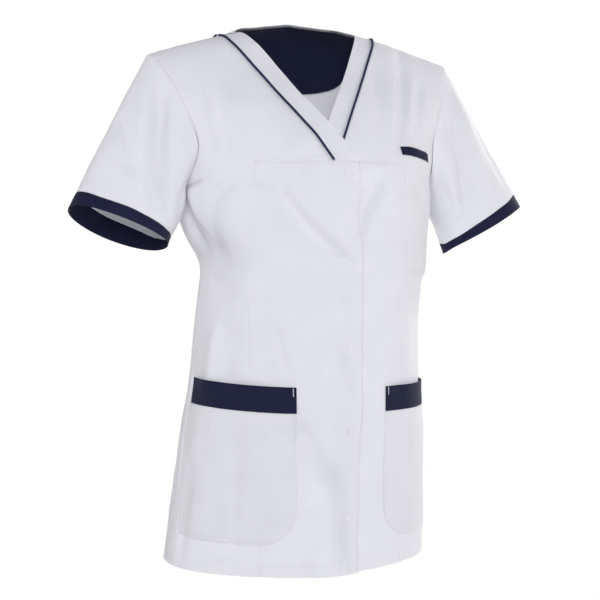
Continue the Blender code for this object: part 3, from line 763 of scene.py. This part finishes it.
def front_centre(side):
    name, right, _, _, seam = FRONTS[side]
    cloth = partial(front_cloth, right)
    near = STUD_MARKS[:, None] + np.array(STUD_LEVELS)[None, :]
    levels = front_rows()[0]
    clear = np.abs(levels[:, None] - np.array(STUD_LEVELS)[None, :]).min(axis=1) > STUD_MARKS[-1] + 0.0008
    levels = np.sort(np.concatenate([levels[clear], near.ravel()]))
    start = around_at(-1, edge_x(seam, levels) + side * SEAM_GAP, levels)
    end = around_at(-1, np.full(len(levels), -side * PLACKET_HALF), levels)
    studs, beside = spread(0.0095, 0.0245, 20), spread(0.0265, 0.0375, 5)
    from_edge = np.concatenate([EDGE_MARKS[:5], studs, beside, PLACKET_MARKS])
    around = blend(start, end, shares_for(0.115, 0.003, EDGE_MARKS, tuple(from_edge)))
    level = np.broadcast_to(levels[:, None], around.shape)
    x = body_surface(-1, around, level)[..., 0]
    run = along_rows(cloth(around, level))
    back = run[:, -1:] - run
    relief = seam_relief(run, dip=0.00015) + seam_relief(BUST_LEVEL - level, dip=SOFT_DIP)
    relief += seam_relief(back, (PLACKET_HALF * 2,), dip=0) + hem_relief(level, run) + stud_marks(x, level)
    relief += pucker(back - 0.002, level, 0.00022, 0.013) + pucker(BUST_LEVEL - level, run, 0.0002)
    relief += groove(back, 0.0014, 0.0019)
    if not right:
        relief += groove(x - PLACKET_HALF - 0.0016, 0.0013, 0.0017)
    body_sheet(name + "_front_centre", cloth, around, level, relief)


def neckband(side):
    name, right, piping, neck, _ = FRONTS[side]
    cloth = partial(front_cloth, right)
    shares = shares_for(0.2, 0.0026, EDGE_MARKS, EDGE_MARKS)
    levels = BUST_LEVEL + SEAM_GAP + (-BUST_LEVEL - 2 * SEAM_GAP) * shares
    outer, inner = (around_at(-1, edge_x(edge, levels), levels) for edge in (piping, neck))
    around = blend(outer, inner, BAND_SHARES)
    level = np.broadcast_to(levels[:, None], around.shape)
    run = along_rows(cloth(around, level))
    relief = seam_relief(run) + seam_relief(-level) + pucker(run - 0.003, level, 0.0002, 0.016)
    body_sheet(name + "_neckband", cloth, around, level, relief)


def back_columns():
    """How far round each column of the back lies, and the level of its top."""
    half = BAND_HALF + 5 * SEAM_GAP
    swing = np.delete(spread(-0.5 * math.pi, 0.5 * math.pi, 75), (1, 2, 72, 73))
    top = (BAND_DIP - 5 * SEAM_GAP) * np.cos(swing)
    middle = around_at(1, NECK_SHIFT + half * np.sin(swing), top)
    side = shares_for(0.115, 0.0034, EDGE_MARKS, ())
    right = -SIDE_END + (middle[0] + SIDE_END) * side[:-1]
    left = SIDE_END + (middle[-1] - SIDE_END) * side[-2::-1]
    return np.concatenate([right, middle, left]), np.pad(top, (len(right), len(left)))


def back_panel():
    columns, top = back_columns()
    rows = shares_for(-HEM_LEVEL, 0.0036, HEM_MARKS, EDGE_MARKS)
    level = HEM_LEVEL + rows[:, None] * (top - HEM_LEVEL)
    around = np.broadcast_to(columns, level.shape)
    run = along_rows(body_surface(1, around, level))
    relief = hem_relief(level, run) + seam_relief(top - level, (SEAM_ROW,)) + pucker(top - level, run)
    for edge in (run, run[:, -1:] - run):
        relief += seam_relief(edge, dip=SOFT_DIP) + pucker(edge, level)
    body_sheet("back", partial(body_cloth, 1), around, level, relief)


def neck_path(edge, count):
    """How far round and at what level an edge of the back neck runs, squarer if less full."""
    half, dip, fullness = edge
    swing = spread(-0.5 * math.pi, 0.5 * math.pi, count)
    level = dip * np.abs(np.cos(swing)) ** fullness - 0.5 * SEAM_GAP
    return around_at(1, NECK_SHIFT + half * np.sin(swing), level), level


def neck_strip(edge, count, shares):
    """A grid at the back neck from one of its edges up to the neck's own."""
    ends = zip(neck_path(edge, count), neck_path(NECK_EDGE, count))
    return (blend(first, last, shares) for first, last in ends)


def back_neckband():
    around, level = neck_strip(BAND_EDGE, 90, BAND_SHARES)
    relief = seam_relief(along_rows(body_surface(1, around, level)))
    body_sheet("back_neckband", partial(body_cloth, 1), around, level, relief)


def back_facing():
    around, level = neck_strip(FACING_EDGE, 80, shares_for(0.066, 0.003, EDGE_MARKS, EDGE_MARKS))
    out = thickness() - CAD_WALL - FACING_GAP
    cloth = partial(body_cloth, 1)
    body_sheet("back_neck_facing", cloth, around, level - SEAM_GAP, 0, "navy_twill", out)


def tube(name, path, radius, sides=10):
    """A round cord along a path, with closed ends."""
    tangent = unit(np.gradient(path, axis=0))
    aside = unit(np.cross(tangent, (0.3, 0.9, 0.3)))
    other = np.cross(tangent, aside)
    angle = np.arange(sides) * 2 * math.pi / sides
    size = np.full(len(path), radius)
    size[[0, -1]] *= 0.6
    ring = np.cos(angle)[None, :, None] * aside[:, None] + np.sin(angle)[None, :, None] * other[:, None]
    points = path[:, None] + size[:, None, None] * ring
    ids = np.arange(points[..., 0].size).reshape(-1, sides)
    after = np.roll(ids, -1, axis=1)
    faces = np.stack([ids[:-1], after[:-1], after[1:], ids[1:]], axis=-1).reshape(-1, 4).tolist()
    piece = mesh_object(name, points.reshape(-1, 3), faces + [ids[0][::-1].tolist(), ids[-1].tolist()])
    recalculate(piece)
    return piece


def piping_paths():
    """The path of each length of piping, by the name of its solid."""
    found = {}
    for side in (-1, 1):
        name, right, piping, _, _ = FRONTS[side]
        levels = spread(BUST_LEVEL + 2 * SEAM_GAP, -2 * SEAM_GAP, 100)
        around = around_at(-1, edge_x(piping, levels), levels)
        found[name + "_piping"] = piping_path(-1, around, levels, front_out(right, around, levels))
    around, level = neck_path(BAND_EDGE, 110)
    found["back_piping"] = piping_path(1, around, level - SEAM_GAP, 0)
    return found


def piping_path(face, around, level, above):
    """A cord's run on the cloth. Near the shoulder seam it lies straight above it, so that two lengths meet."""
    high = smooth((level + 0.016) / 0.014)[:, None]
    normal = unit(body_normal(face, around, level) * (1 - high) + np.array((0, 0, 1)) * high)
    return body_cloth(face, around, level, above) + normal * (CAD_WALL + 2 * SEAM_GAP + CORD_LIFT)


def armhole_ring(side):
    """Where the sleeve starts, just clear of the armhole: down the front, under the arm and up the back."""
    down = ARMHOLE_LEVELS[::-1]
    ring = []
    for face, levels in ((-1, down[:-1]), (1, down[:0:-1])):
        at_side = np.full(len(levels), float(side))
        edge = body_surface(face, at_side, levels)
        leaving = unit(edge - body_surface(face, at_side * 0.99, levels))
        outward = body_cloth(face, at_side, levels, 1.0) - body_cloth(face, at_side, levels)
        under = np.clip((-0.110 - levels) / 0.070, 0, 1)[:, None]
        bottom = np.clip((-0.195 - levels) / 0.019, 0, 1)[:, None]
        leaving = leaving * (1 - bottom) + np.array((side * 0.5, 0, 0.9)) * bottom
        ring.append(edge + leaving * SEAM_GAP + outward * under * (2 * CAD_WALL + SEAM_GAP))
    return np.concatenate(ring)


def finer_ring(ring, times):
    """A closed ring of points with more points on the same smooth curve."""
    before, after, later = (np.roll(ring, k, axis=0) for k in (1, -1, -2))
    t = (np.arange(times) / times)[None, :, None]
    before, ring, after, later = (r[:, None, :] for r in (before, ring, after, later))
    finer = 0.5 * (
        2 * ring + (after - before) * t + (2 * before - 5 * ring + 4 * after - later) * t**2
        + (3 * ring - before - 3 * after + later) * t**3
    )
    return finer.reshape(-1, 3)


def cuff_ring(cuff, steps):
    """The end of a cuff. Its front edge hangs a little."""
    middle, long_side, short_side = np.asarray(cuff)
    turn = np.arange(steps)[:, None] * 2 * math.pi / steps
    hang = np.array((0.0, 0.0, -CUFF_DROP)) * np.clip(np.sin(turn), 0, 1) ** 2
    return middle + long_side * np.cos(turn) - short_side * np.sin(turn) + hang


def ring_normals(rings):
    around = np.roll(rings, -1, axis=1) - np.roll(rings, 1, axis=1)
    along = np.gradient(rings, axis=0)
    normal = unit(np.cross(around, along))
    middle = rings.mean(axis=1, keepdims=True)
    return -normal if ((rings - middle) * normal).sum() < 0 else normal


def sleeve_rings(side, shares, out=0.0):
    """Rings of points from the armhole to the end of the cuff, with the turn and the share of each."""
    _, cuff, creases, under, power = SLEEVES[side]
    first = finer_ring(armhole_ring(side), SLEEVE_FINER)
    last = cuff_ring(cuff, len(first))
    turn = np.arange(len(first)) / len(first)
    shares = np.asarray(shares)[:, None]
    swing = np.sin(2 * math.pi * (turn + CUFF_TURN))[None, :]
    swing = np.where(swing < 0, 1.5 * swing, swing)
    shares = (shares + CUFF_TILT * swing * shares * (1 - shares) / 0.09)[..., None]
    rings = first + (last - first) * shares
    bow = np.array([side * 0.85, 0.0, 0.52]) * SLEEVE_BOW
    top = np.cos(2 * math.pi * turn)[None, :, None] * 0.5 + 0.5
    rings = rings + bow * np.sin(math.pi * shares) * top
    hang = np.sin(math.pi * shares) ** power * (1 - top) ** 2
    rings = rings + np.array([side * under, 0.0, 0.0]) * hang
    around, along = np.broadcast_arrays(turn[None, :], shares[:, :, 0])
    depth = crease_depth(creases, around, along) * smooth(along / 0.15)
    waves = uneven(np.sin(2 * math.pi * around) * 0.057, along * SLEEVE_LENGTH + 0.3 * side)
    depth = depth + 0.8 * waves * smooth(along / 0.1)
    normals = ring_normals(rings)
    return rings + normals * (np.asarray(out) - depth)[..., None], around, along


def sleeve_parts(side):
    name = SLEEVES[side][0]
    upper = shares_for(SLEEVE_LENGTH * CUFF_SHARE, 0.0032, EDGE_MARKS, EDGE_MARKS) * CUFF_SHARE
    room = 1 - CUFF_SHARE - CUFF_GAP
    narrow = shares_for(SLEEVE_LENGTH * room, 0.0026, EDGE_MARKS[:5], EDGE_MARKS[:5])
    lower = CUFF_SHARE + CUFF_GAP + room * narrow
    both = np.concatenate([upper, lower])
    from_armhole = both[:, None] * SLEEVE_LENGTH
    to_cuff = np.abs(both[:, None] - CUFF_SHARE - CUFF_GAP / 2) * SLEEVE_LENGTH - 0.0003
    turned = np.arange(SLEEVE_POINTS) / SLEEVE_POINTS * SLEEVE_GIRTH
    relief = seam_relief(from_armhole, dip=SOFT_DIP) + seam_relief(to_cuff, (0.002,), dip=SOFT_DIP)
    relief = relief + pucker(from_armhole, turned) + pucker(to_cuff, turned, 0.0002)
    outer, around, along = sleeve_rings(side, both, CAD_WALL - relief)
    inner = sleeve_rings(side, both, CAD_WALL - thickness() - relief)[0]
    flat = np.stack([around * SLEEVE_GIRTH, along * SLEEVE_LENGTH], axis=-1)
    flat = np.concatenate([flat, flat[:, :1] + (SLEEVE_GIRTH, 0)], axis=1)
    count = len(upper)
    above, below = slice(count), slice(count, None)
    for part, rows, slot in (("sleeve", above, "white_twill"), ("cuff", below, "navy_twill")):
        finish_sheet(f"{name}_{part}", outer[rows], inner[rows], flat[rows], slot, joined=True)


def pocket_place(row, shares, tall, out=0.0):
    """Points of a patch pocket: shares run from its edge nearest the middle, tall from 0 at its bottom to 1 at its
    top and on to 2 at the top of its band."""
    _, low, high, near_x, far_low, far_high, band, corner, rise, gap, side = row
    right = side < 0
    from_edge = np.clip(1 - shares * abs(far_low) * 0.7 * GIRTH_QUARTER / corner, 0, 1)
    bottom = low + corner * (1 - np.sqrt(1 - from_edge**2)) + rise * shares
    top = high + rise * shares
    level = bottom + (top - bottom) * np.minimum(tall, 1) + band * np.maximum(tall - 1, 0)
    height = (level - low) / (high + band - low)
    near = around_at(-1, np.full(np.shape(level), near_x), level)
    far = far_low + (far_high - far_low) * height
    around = near + (far - near) * shares
    swell = POCKET_SPACE * np.sin(math.pi * np.clip(shares, 0, 1)) ** 0.8 * np.clip(height, 0, 1) ** 2
    inward = smooth(np.minimum(np.minimum(shares, 1 - shares) * 0.1, np.maximum(level - bottom, 0)) / 0.024)
    return front_cloth(right, around, level, CAD_WALL + gap * inward + swell + out), cut_places(around, level)


POCKET_SEWING = (0.0016, 0.0070)
HIP_POCKET_WIDTH = 0.105
CHEST_POCKET_WIDTH = 0.055


def pocket_width(row):
    return CHEST_POCKET_WIDTH if row[0] == "chest_pocket" else HIP_POCKET_WIDTH


def pocket_parts(row):
    name, low, high, side = row[0], row[1], row[2], row[-1]
    shares = shares_for(pocket_width(row), 0.003, EDGE_MARKS, EDGE_MARKS)
    body = shares_for(high - low, 0.003, EDGE_MARKS, EDGE_MARKS[:4])
    strip = 1 + 0.01 + 0.99 * shares_for(row[6], 0.0024, EDGE_MARKS[:4], EDGE_MARKS[:4])
    for part, tall, slot in (("", body, "white_twill"), ("_band", strip, "navy_twill")):
        grid = np.meshgrid(shares, tall)
        plain = pocket_place(row, *grid)[0]
        run = along_rows(plain)
        rise = along_rows(plain.transpose(1, 0, 2)).T
        edges = np.minimum(run, run[:, -1:] - run)
        relief = seam_relief(edges, POCKET_SEWING, dip=0.0003)
        if part:
            relief += seam_relief(rise, (0.0018,), dip=0) - 0.0004
        else:
            relief += seam_relief(rise, POCKET_SEWING, dip=0.0003) + seam_relief(rise[-1:] - rise)
            relief += pucker(edges - 0.004, rise, 0.00025, 0.011) + pucker(rise - 0.004, run, 0.00025, 0.011)
        outer, flat = pocket_place(row, *grid, CAD_WALL - relief)
        inner = pocket_place(row, *grid, CAD_WALL - relief - thickness())[0]
        finish_sheet(name + part, outer, inner, flat, slot)


THREAD_OUT = CAD_WALL - 0.0003


def sewn_run(face, right, around, level):
    """A run of points where thread lies on the front or back, with its normals."""
    above = front_out(right, around, level) if face < 0 else 0.0
    return body_cloth(face, around, level, above + THREAD_OUT), body_normal(face, around, level)


def straight_run(side, x, level, count=220):
    """A run on one front between two points given as x and level."""
    x = spread(x[0], x[1], count)
    level = spread(level[0], level[1], count)
    return sewn_run(-1, side < 0, around_at(-1, x, level), level)


def body_runs():
    """Rows of stitching on the fronts and the back: hem, placket, bust seam and beside the piping."""
    hem = HEM_LEVEL + HEM_ROW
    runs = [sewn_run(1, False, spread(-SIDE_END, SIDE_END, 500), np.full(500, hem))]
    for side in (-1, 1):
        _, right, piping, _, seam = FRONTS[side]
        edge = -side * PLACKET_HALF
        corner = side * PLACKET_HALF
        end = float(around_at(-1, edge, hem)) * 0.998
        runs.append(sewn_run(-1, right, spread(side * SIDE_END, end, 400), np.full(400, hem)))
        runs.append(straight_run(side, (corner, corner), (hem, BUST_LEVEL - 0.004), 400))
        last = (edge if right else 0) + side * 0.002
        for row in BUST_ROWS:
            runs.append(straight_run(side, (seam[-1][1], last), (BUST_LEVEL + row, BUST_LEVEL + row)))
        level = spread(BUST_LEVEL + 0.009, -0.004, 220)
        runs.append(sewn_run(-1, right, around_at(-1, edge_x(piping, level) + side * 0.0036, level), level))
    return runs


def pocket_rows(row, out):
    """The double row of stitching round a patch pocket."""
    runs = []
    for inset in POCKET_SEWING:
        side, foot = inset / pocket_width(row), inset / (row[2] - row[1])
        shares = np.concatenate([np.full(60, side), spread(side, 1 - side, 60)[1:], np.full(59, 1 - side)])
        tall = np.concatenate([spread(0.995, foot, 60), np.full(59, foot), spread(foot, 0.995, 60)[1:]])
        runs.append(run_on_pocket(row, shares, tall, out))
    return runs


def run_on_pocket(row, shares, tall, out):
    points = pocket_place(row, shares, tall, out)[0]
    inner = pocket_place(row, shares, tall, out - 0.002)[0]
    return points, unit(points - inner)


def sleeve_row(side, share, out):
    """A row round the sleeve at a share of its length."""
    points = sleeve_rings(side, (share - 0.004, share, share + 0.004), out)[0]
    normals = ring_normals(points)
    closed = np.concatenate([points[1], points[1][:1]])
    return closed, np.concatenate([normals[1], normals[1][:1]])


def bar_tacks():
    """Short thick tacks at the bust seam's ends, at the hip pockets' tops and on the placket by each stud below the
    top one.
    """
    places = [(side, FRONTS[side][4][-1][1], BUST_LEVEL - 0.001, BUST_LEVEL - 0.009) for side in (-1, 1)]
    for level in STUD_LEVELS[1:]:
        places += [(-1, x, level + 0.005, level - 0.005) for x in (-0.0195, -0.014, -0.0085)]
    runs = [straight_run(side, (x, x), (top, low), 20) for side, x, top, low in places]
    for row in POCKETS[:2]:
        share = np.full(20, 0.0022 / pocket_width(row))
        runs.append(run_on_pocket(row, share, spread(1.66, 1.98, 20), CAD_WALL + 0.0006))
    return runs


def deselect_all():
    for obj in bpy.context.view_layer.objects:
        obj.select_set(False)


def press_stud(number, level):
    """A stud's cap and socket between the fronts, turned to the body's normal."""
    level = np.array([level])
    around = around_at(-1, np.array([STUD_X]), level)
    low = body_cloth(-1, around, level, CAD_WALL + STUD_CLEARANCE)[0]
    high = body_cloth(-1, around, level, CAD_WALL + LAP_SPACE - STUD_CLEARANCE)[0]
    tall = float(np.linalg.norm(high - low))
    deselect_all()
    bpy.ops.mesh.primitive_cylinder_add(vertices=32, radius=STUD_RADIUS, depth=tall, location=(0, 0, 0))
    stud = bpy.context.active_object
    stud.name = f"press_stud_{number}_moulded"
    bpy.ops.object.mode_set(mode="EDIT")
    bpy.ops.mesh.select_all(action="SELECT")
    bpy.ops.mesh.bevel(offset=tall * 0.22, segments=2, affect="EDGES")
    bpy.ops.object.mode_set(mode="OBJECT")
    for polygon in stud.data.polygons:
        polygon.select = abs(polygon.normal.z) > 0.99 and polygon.area > 1e-5
    for edge in stud.data.edges:
        edge.select = False
    bpy.ops.object.mode_set(mode="EDIT")
    bpy.ops.mesh.select_mode(type="FACE")
    bpy.ops.mesh.inset(thickness=0.0016, depth=0)
    bpy.ops.mesh.inset(thickness=0.0003, depth=-tall * 0.2)
    bpy.ops.object.mode_set(mode="OBJECT")
    turn = Vector((0, 0, 1)).rotation_difference(Vector(high - low)).to_matrix().to_4x4()
    stud.data.transform(Matrix.Translation(Vector((low + high) / 2)) @ turn)
    bpy.ops.object.shade_smooth_by_angle(angle=math.radians(35))
    stud.data.materials.append(stud_plastic())
    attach(stud, "root")
    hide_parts(f"press_stud_{number}")


def stud_plastic():
    """Moulded acetal: smooth, a little glossy, with faint flow marks from the mould."""
    made, tree, shader = new_material(
        "moulded_acetal", {"Base Color": linear("#E9E9EC"), "Roughness": 0.38, "IOR": 1.48}
    )
    if not tree:
        return made
    place = add_node(tree, "ShaderNodeTexCoord").outputs["Object"]
    flow = add_node(tree, "ShaderNodeTexNoise", {"Vector": place, "Scale": 900})
    add_bump(tree, shader, flow.outputs["Fac"], 0.15, 0.00005)
    return made


class TunicCloth(bpy.types.PropertyGroup):
    """Cloth of the tunic."""

    thickness: bpy.props.FloatProperty(
        name="Thickness", description="Thickness of the cloth", default=0.0009, min=0.0004, max=0.002,
        unit="LENGTH", precision=4,
    )
    white: bpy.props.StringProperty(
        name="White", description="sRGB hex colour of the body cloth", default="#F3F3F7"
    )
    navy: bpy.props.StringProperty(
        name="Navy", description="sRGB hex colour of the bands and piping", default="#0E1436"
    )


class TunicStage(bpy.types.PropertyGroup):
    """Stage and camera."""

    distance: bpy.props.FloatProperty(
        name="Camera distance", description="From the camera to the tunic's upright axis", default=2.268,
        unit="LENGTH",
    )
    turn: bpy.props.FloatProperty(
        name="Camera turn", description="How far the camera stands to the wearer's right",
        default=math.radians(24), subtype="ANGLE",
    )
    lens: bpy.props.FloatProperty(name="Lens", description="Focal length in millimetres", default=100.74)


class TUNIC_OT_back(bpy.types.Operator):
    """Makes the back, its neckband and the facing inside the neck"""

    bl_idname = "tunic.back"
    bl_label = "Back"

    def execute(self, context):
        back_panel()
        back_neckband()
        back_facing()
        return {"FINISHED"}


class TUNIC_OT_fronts(bpy.types.Operator):
    """Makes the two fronts, each a side piece and a piece under the bust"""

    bl_idname = "tunic.fronts"
    bl_label = "Fronts"

    def execute(self, context):
        for side in (-1, 1):
            front_side(side)
            front_centre(side)
        return {"FINISHED"}


class TUNIC_OT_neckbands(bpy.types.Operator):
    """Makes the bands of the V neck and the piping along them"""

    bl_idname = "tunic.neckbands"
    bl_label = "Neckbands and Piping"

    def execute(self, context):
        for side in (-1, 1):
            neckband(side)
        for name, path in piping_paths().items():
            piece = tube(name + "_cord", path, CORD_RADIUS)
            piece.data.materials.append(thread_material("navy_piping", "#12172E"))
            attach(piece, "root")
            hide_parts(name)
        return {"FINISHED"}


class TUNIC_OT_sleeves(bpy.types.Operator):
    """Makes the sleeves and their bands"""

    bl_idname = "tunic.sleeves"
    bl_label = "Sleeves"

    def execute(self, context):
        for side in (-1, 1):
            sleeve_parts(side)
        return {"FINISHED"}


class TUNIC_OT_pockets(bpy.types.Operator):
    """Makes the hip pockets and the chest pocket with their bands"""

    bl_idname = "tunic.pockets"
    bl_label = "Pockets"

    def execute(self, context):
        for row in POCKETS:
            pocket_parts(row)
        return {"FINISHED"}


class TUNIC_OT_sewing(bpy.types.Operator):
    """Makes the rows of stitching and the bar tacks"""

    bl_idname = "tunic.sewing"
    bl_label = "Sewing"

    def execute(self, context):
        white = thread_material("white_sewing_thread", "#F4F4F8")
        navy = thread_material("navy_sewing_thread", "#1A2036")
        sew("seam_stitches", body_runs(), white)
        rows = [run for row in POCKETS for run in pocket_rows(row, CAD_WALL - 0.0001)]
        sew("pocket_stitches", rows, white)
        rows = [sleeve_row(side, CUFF_SHARE - 0.012, CAD_WALL - 0.0002) for side in (-1, 1)]
        sew("sleeve_stitches", rows, white)
        rows = [sleeve_row(side, share, CAD_WALL - 0.0001) for side in (-1, 1) for share in (0.900, 0.990)]
        sew("cuff_stitches", rows, navy)
        sew("bar_tacks", bar_tacks(), white, length=0.0015, pitch=0.0006, turned=True)
        return {"FINISHED"}


class TUNIC_OT_studs(bpy.types.Operator):
    """Makes the press studs between the fronts"""

    bl_idname = "tunic.studs"
    bl_label = "Press Studs"

    def execute(self, context):
        for number, level in enumerate(STUD_LEVELS, 1):
            press_stud(number, level)
        return {"FINISHED"}


def show_to_camera(tree, lit, seen, output):
    """Shows one shader to the camera, while the other one takes and gives the light."""
    ray = add_node(tree, "ShaderNodeLightPath")
    mix = add_node(
        tree, "ShaderNodeMixShader", {0: ray.outputs["Is Camera Ray"], 1: lit.outputs[0], 2: seen.outputs[0]}
    )
    tree.links.new(mix.outputs[0], tree.nodes[output].inputs["Surface"])


WHITE = linear("#FFFFFF")
FLOOR_LEVEL = -1.25
CAMERA_LEVEL = -0.257
LIT_POINT = Vector((0, 0, -0.3))

# A row per soft box: name, place, size in metres, power in watts and colour. All point at the lit point.
SOFT_BOXES = (
    ("front_softbox", (-0.9, -2.2, 0.55), 1.2, 40, "#FAFAFF"),
    ("left_softbox", (2.6, -1.2, 0.5), 1.6, 32, "#FFFFFF"),
    ("left_edge_softbox", (2.4, 1.4, 0.8), 1.4, 50, "#FFFFFF"),
    ("right_softbox", (-2.6, 0.2, 0.4), 1.6, 15, "#FFFFFF"),
    ("right_edge_softbox", (-2.0, 1.8, 0.9), 1.4, 10, "#FFFFFF"),
    ("back_softbox", (0.6, 2.6, 1.2), 1.6, 17, "#FFFFFF"),
)


class TUNIC_OT_stage(bpy.types.Operator):
    """Makes the floor, the lights and the camera"""

    bl_idname = "tunic.stage"
    bl_label = "Stage"

    def execute(self, context):
        stage = context.scene.tunic_stage
        scene = context.scene
        deselect_all()
        bpy.ops.mesh.primitive_plane_add(size=30, location=(0, 0, 0))
        floor = context.active_object
        floor.name = "floor"
        floor.data.transform(Matrix.Translation((0, 0, FLOOR_LEVEL)))
        # Matt paint, plain white to the camera. It gives the cloth a faint light from below.
        paint, tree, shader = new_material(
            "pale_studio_floor", {"Base Color": linear("#F7F7F8"), "Roughness": 0.9}
        )
        seen = add_node(tree, "ShaderNodeEmission", {"Color": WHITE})
        show_to_camera(tree, shader, seen, "Material Output")
        floor.data.materials.append(paint)

        turn = stage.turn
        place = Vector((-math.sin(turn), -math.cos(turn), 0)) * stage.distance + Vector((0, 0, CAMERA_LEVEL))
        camera = bpy.data.objects.new("camera", bpy.data.cameras.new("camera"))
        camera.data.lens = stage.lens
        camera.data.sensor_width = 36
        camera.data.clip_end = 60
        camera.matrix_world = (
            Matrix.Translation(place)
            @ Matrix.Rotation(-turn + math.radians(0.024), 4, "Z")
            @ Matrix.Rotation(math.radians(90 - 2.55), 4, "X")
            @ Matrix.Rotation(math.radians(-0.15), 4, "Z")
        )
        scene.collection.objects.link(camera)
        scene.camera = camera

        for name, at, size, power, colour in SOFT_BOXES:
            light = bpy.data.lights.new(name, "AREA")
            light.shape = "SQUARE"
            light.size = size
            light.energy = power
            light.color = linear(colour)[:3]
            box = bpy.data.objects.new(name, light)
            look = (LIT_POINT - Vector(at)).to_track_quat("-Z", "Y")
            box.matrix_world = Matrix.Translation(at) @ look.to_matrix().to_4x4()
            scene.collection.objects.link(box)

        world = bpy.data.worlds.new("studio")
        world.use_nodes = True
        scene.world = world
        tree = world.node_tree
        sky = tree.nodes["Background"]
        sky.inputs["Color"].default_value = linear("#E9EBFF")
        sky.inputs["Strength"].default_value = 0.06
        seen = add_node(tree, "ShaderNodeBackground", {"Color": WHITE, "Strength": 1.05})
        show_to_camera(tree, sky, seen, "World Output")
        scene.view_settings.view_transform = "Standard"
        scene.view_settings.look = "None"
        return {"FINISHED"}


OPERATORS = (
    TUNIC_OT_back, TUNIC_OT_fronts, TUNIC_OT_neckbands, TUNIC_OT_sleeves, TUNIC_OT_pockets, TUNIC_OT_sewing,
    TUNIC_OT_studs, TUNIC_OT_stage,
)


class TUNIC_PT_panel(bpy.types.Panel):
    """Lists the tunic's pieces and settings"""

    bl_label = "Medical Tunic"
    bl_idname = "TUNIC_PT_panel"
    bl_space_type = "VIEW_3D"
    bl_region_type = "UI"
    bl_category = "Tunic"

    def draw(self, context):
        for settings in (context.scene.tunic_cloth, context.scene.tunic_stage):
            for key in settings.__annotations__:
                self.layout.prop(settings, key)
        for operator in OPERATORS:
            self.layout.operator(operator.bl_idname)


CLASSES = (TunicCloth, TunicStage) + OPERATORS + (TUNIC_PT_panel,)


def register():
    for made in CLASSES:
        bpy.utils.register_class(made)
    bpy.types.Scene.tunic_cloth = bpy.props.PointerProperty(type=TunicCloth)
    bpy.types.Scene.tunic_stage = bpy.props.PointerProperty(type=TunicStage)


def unregister():
    del bpy.types.Scene.tunic_stage
    del bpy.types.Scene.tunic_cloth
    for made in reversed(CLASSES):
        bpy.utils.unregister_class(made)


def main():
    register()
    bpy.ops.tunic.stage()
    bpy.ops.tunic.back()
    bpy.ops.tunic.fronts()
    bpy.ops.tunic.neckbands()
    bpy.ops.tunic.sleeves()
    bpy.ops.tunic.pockets()
    bpy.ops.tunic.sewing()
    bpy.ops.tunic.studs()


if __name__ == "__main__":
    main()
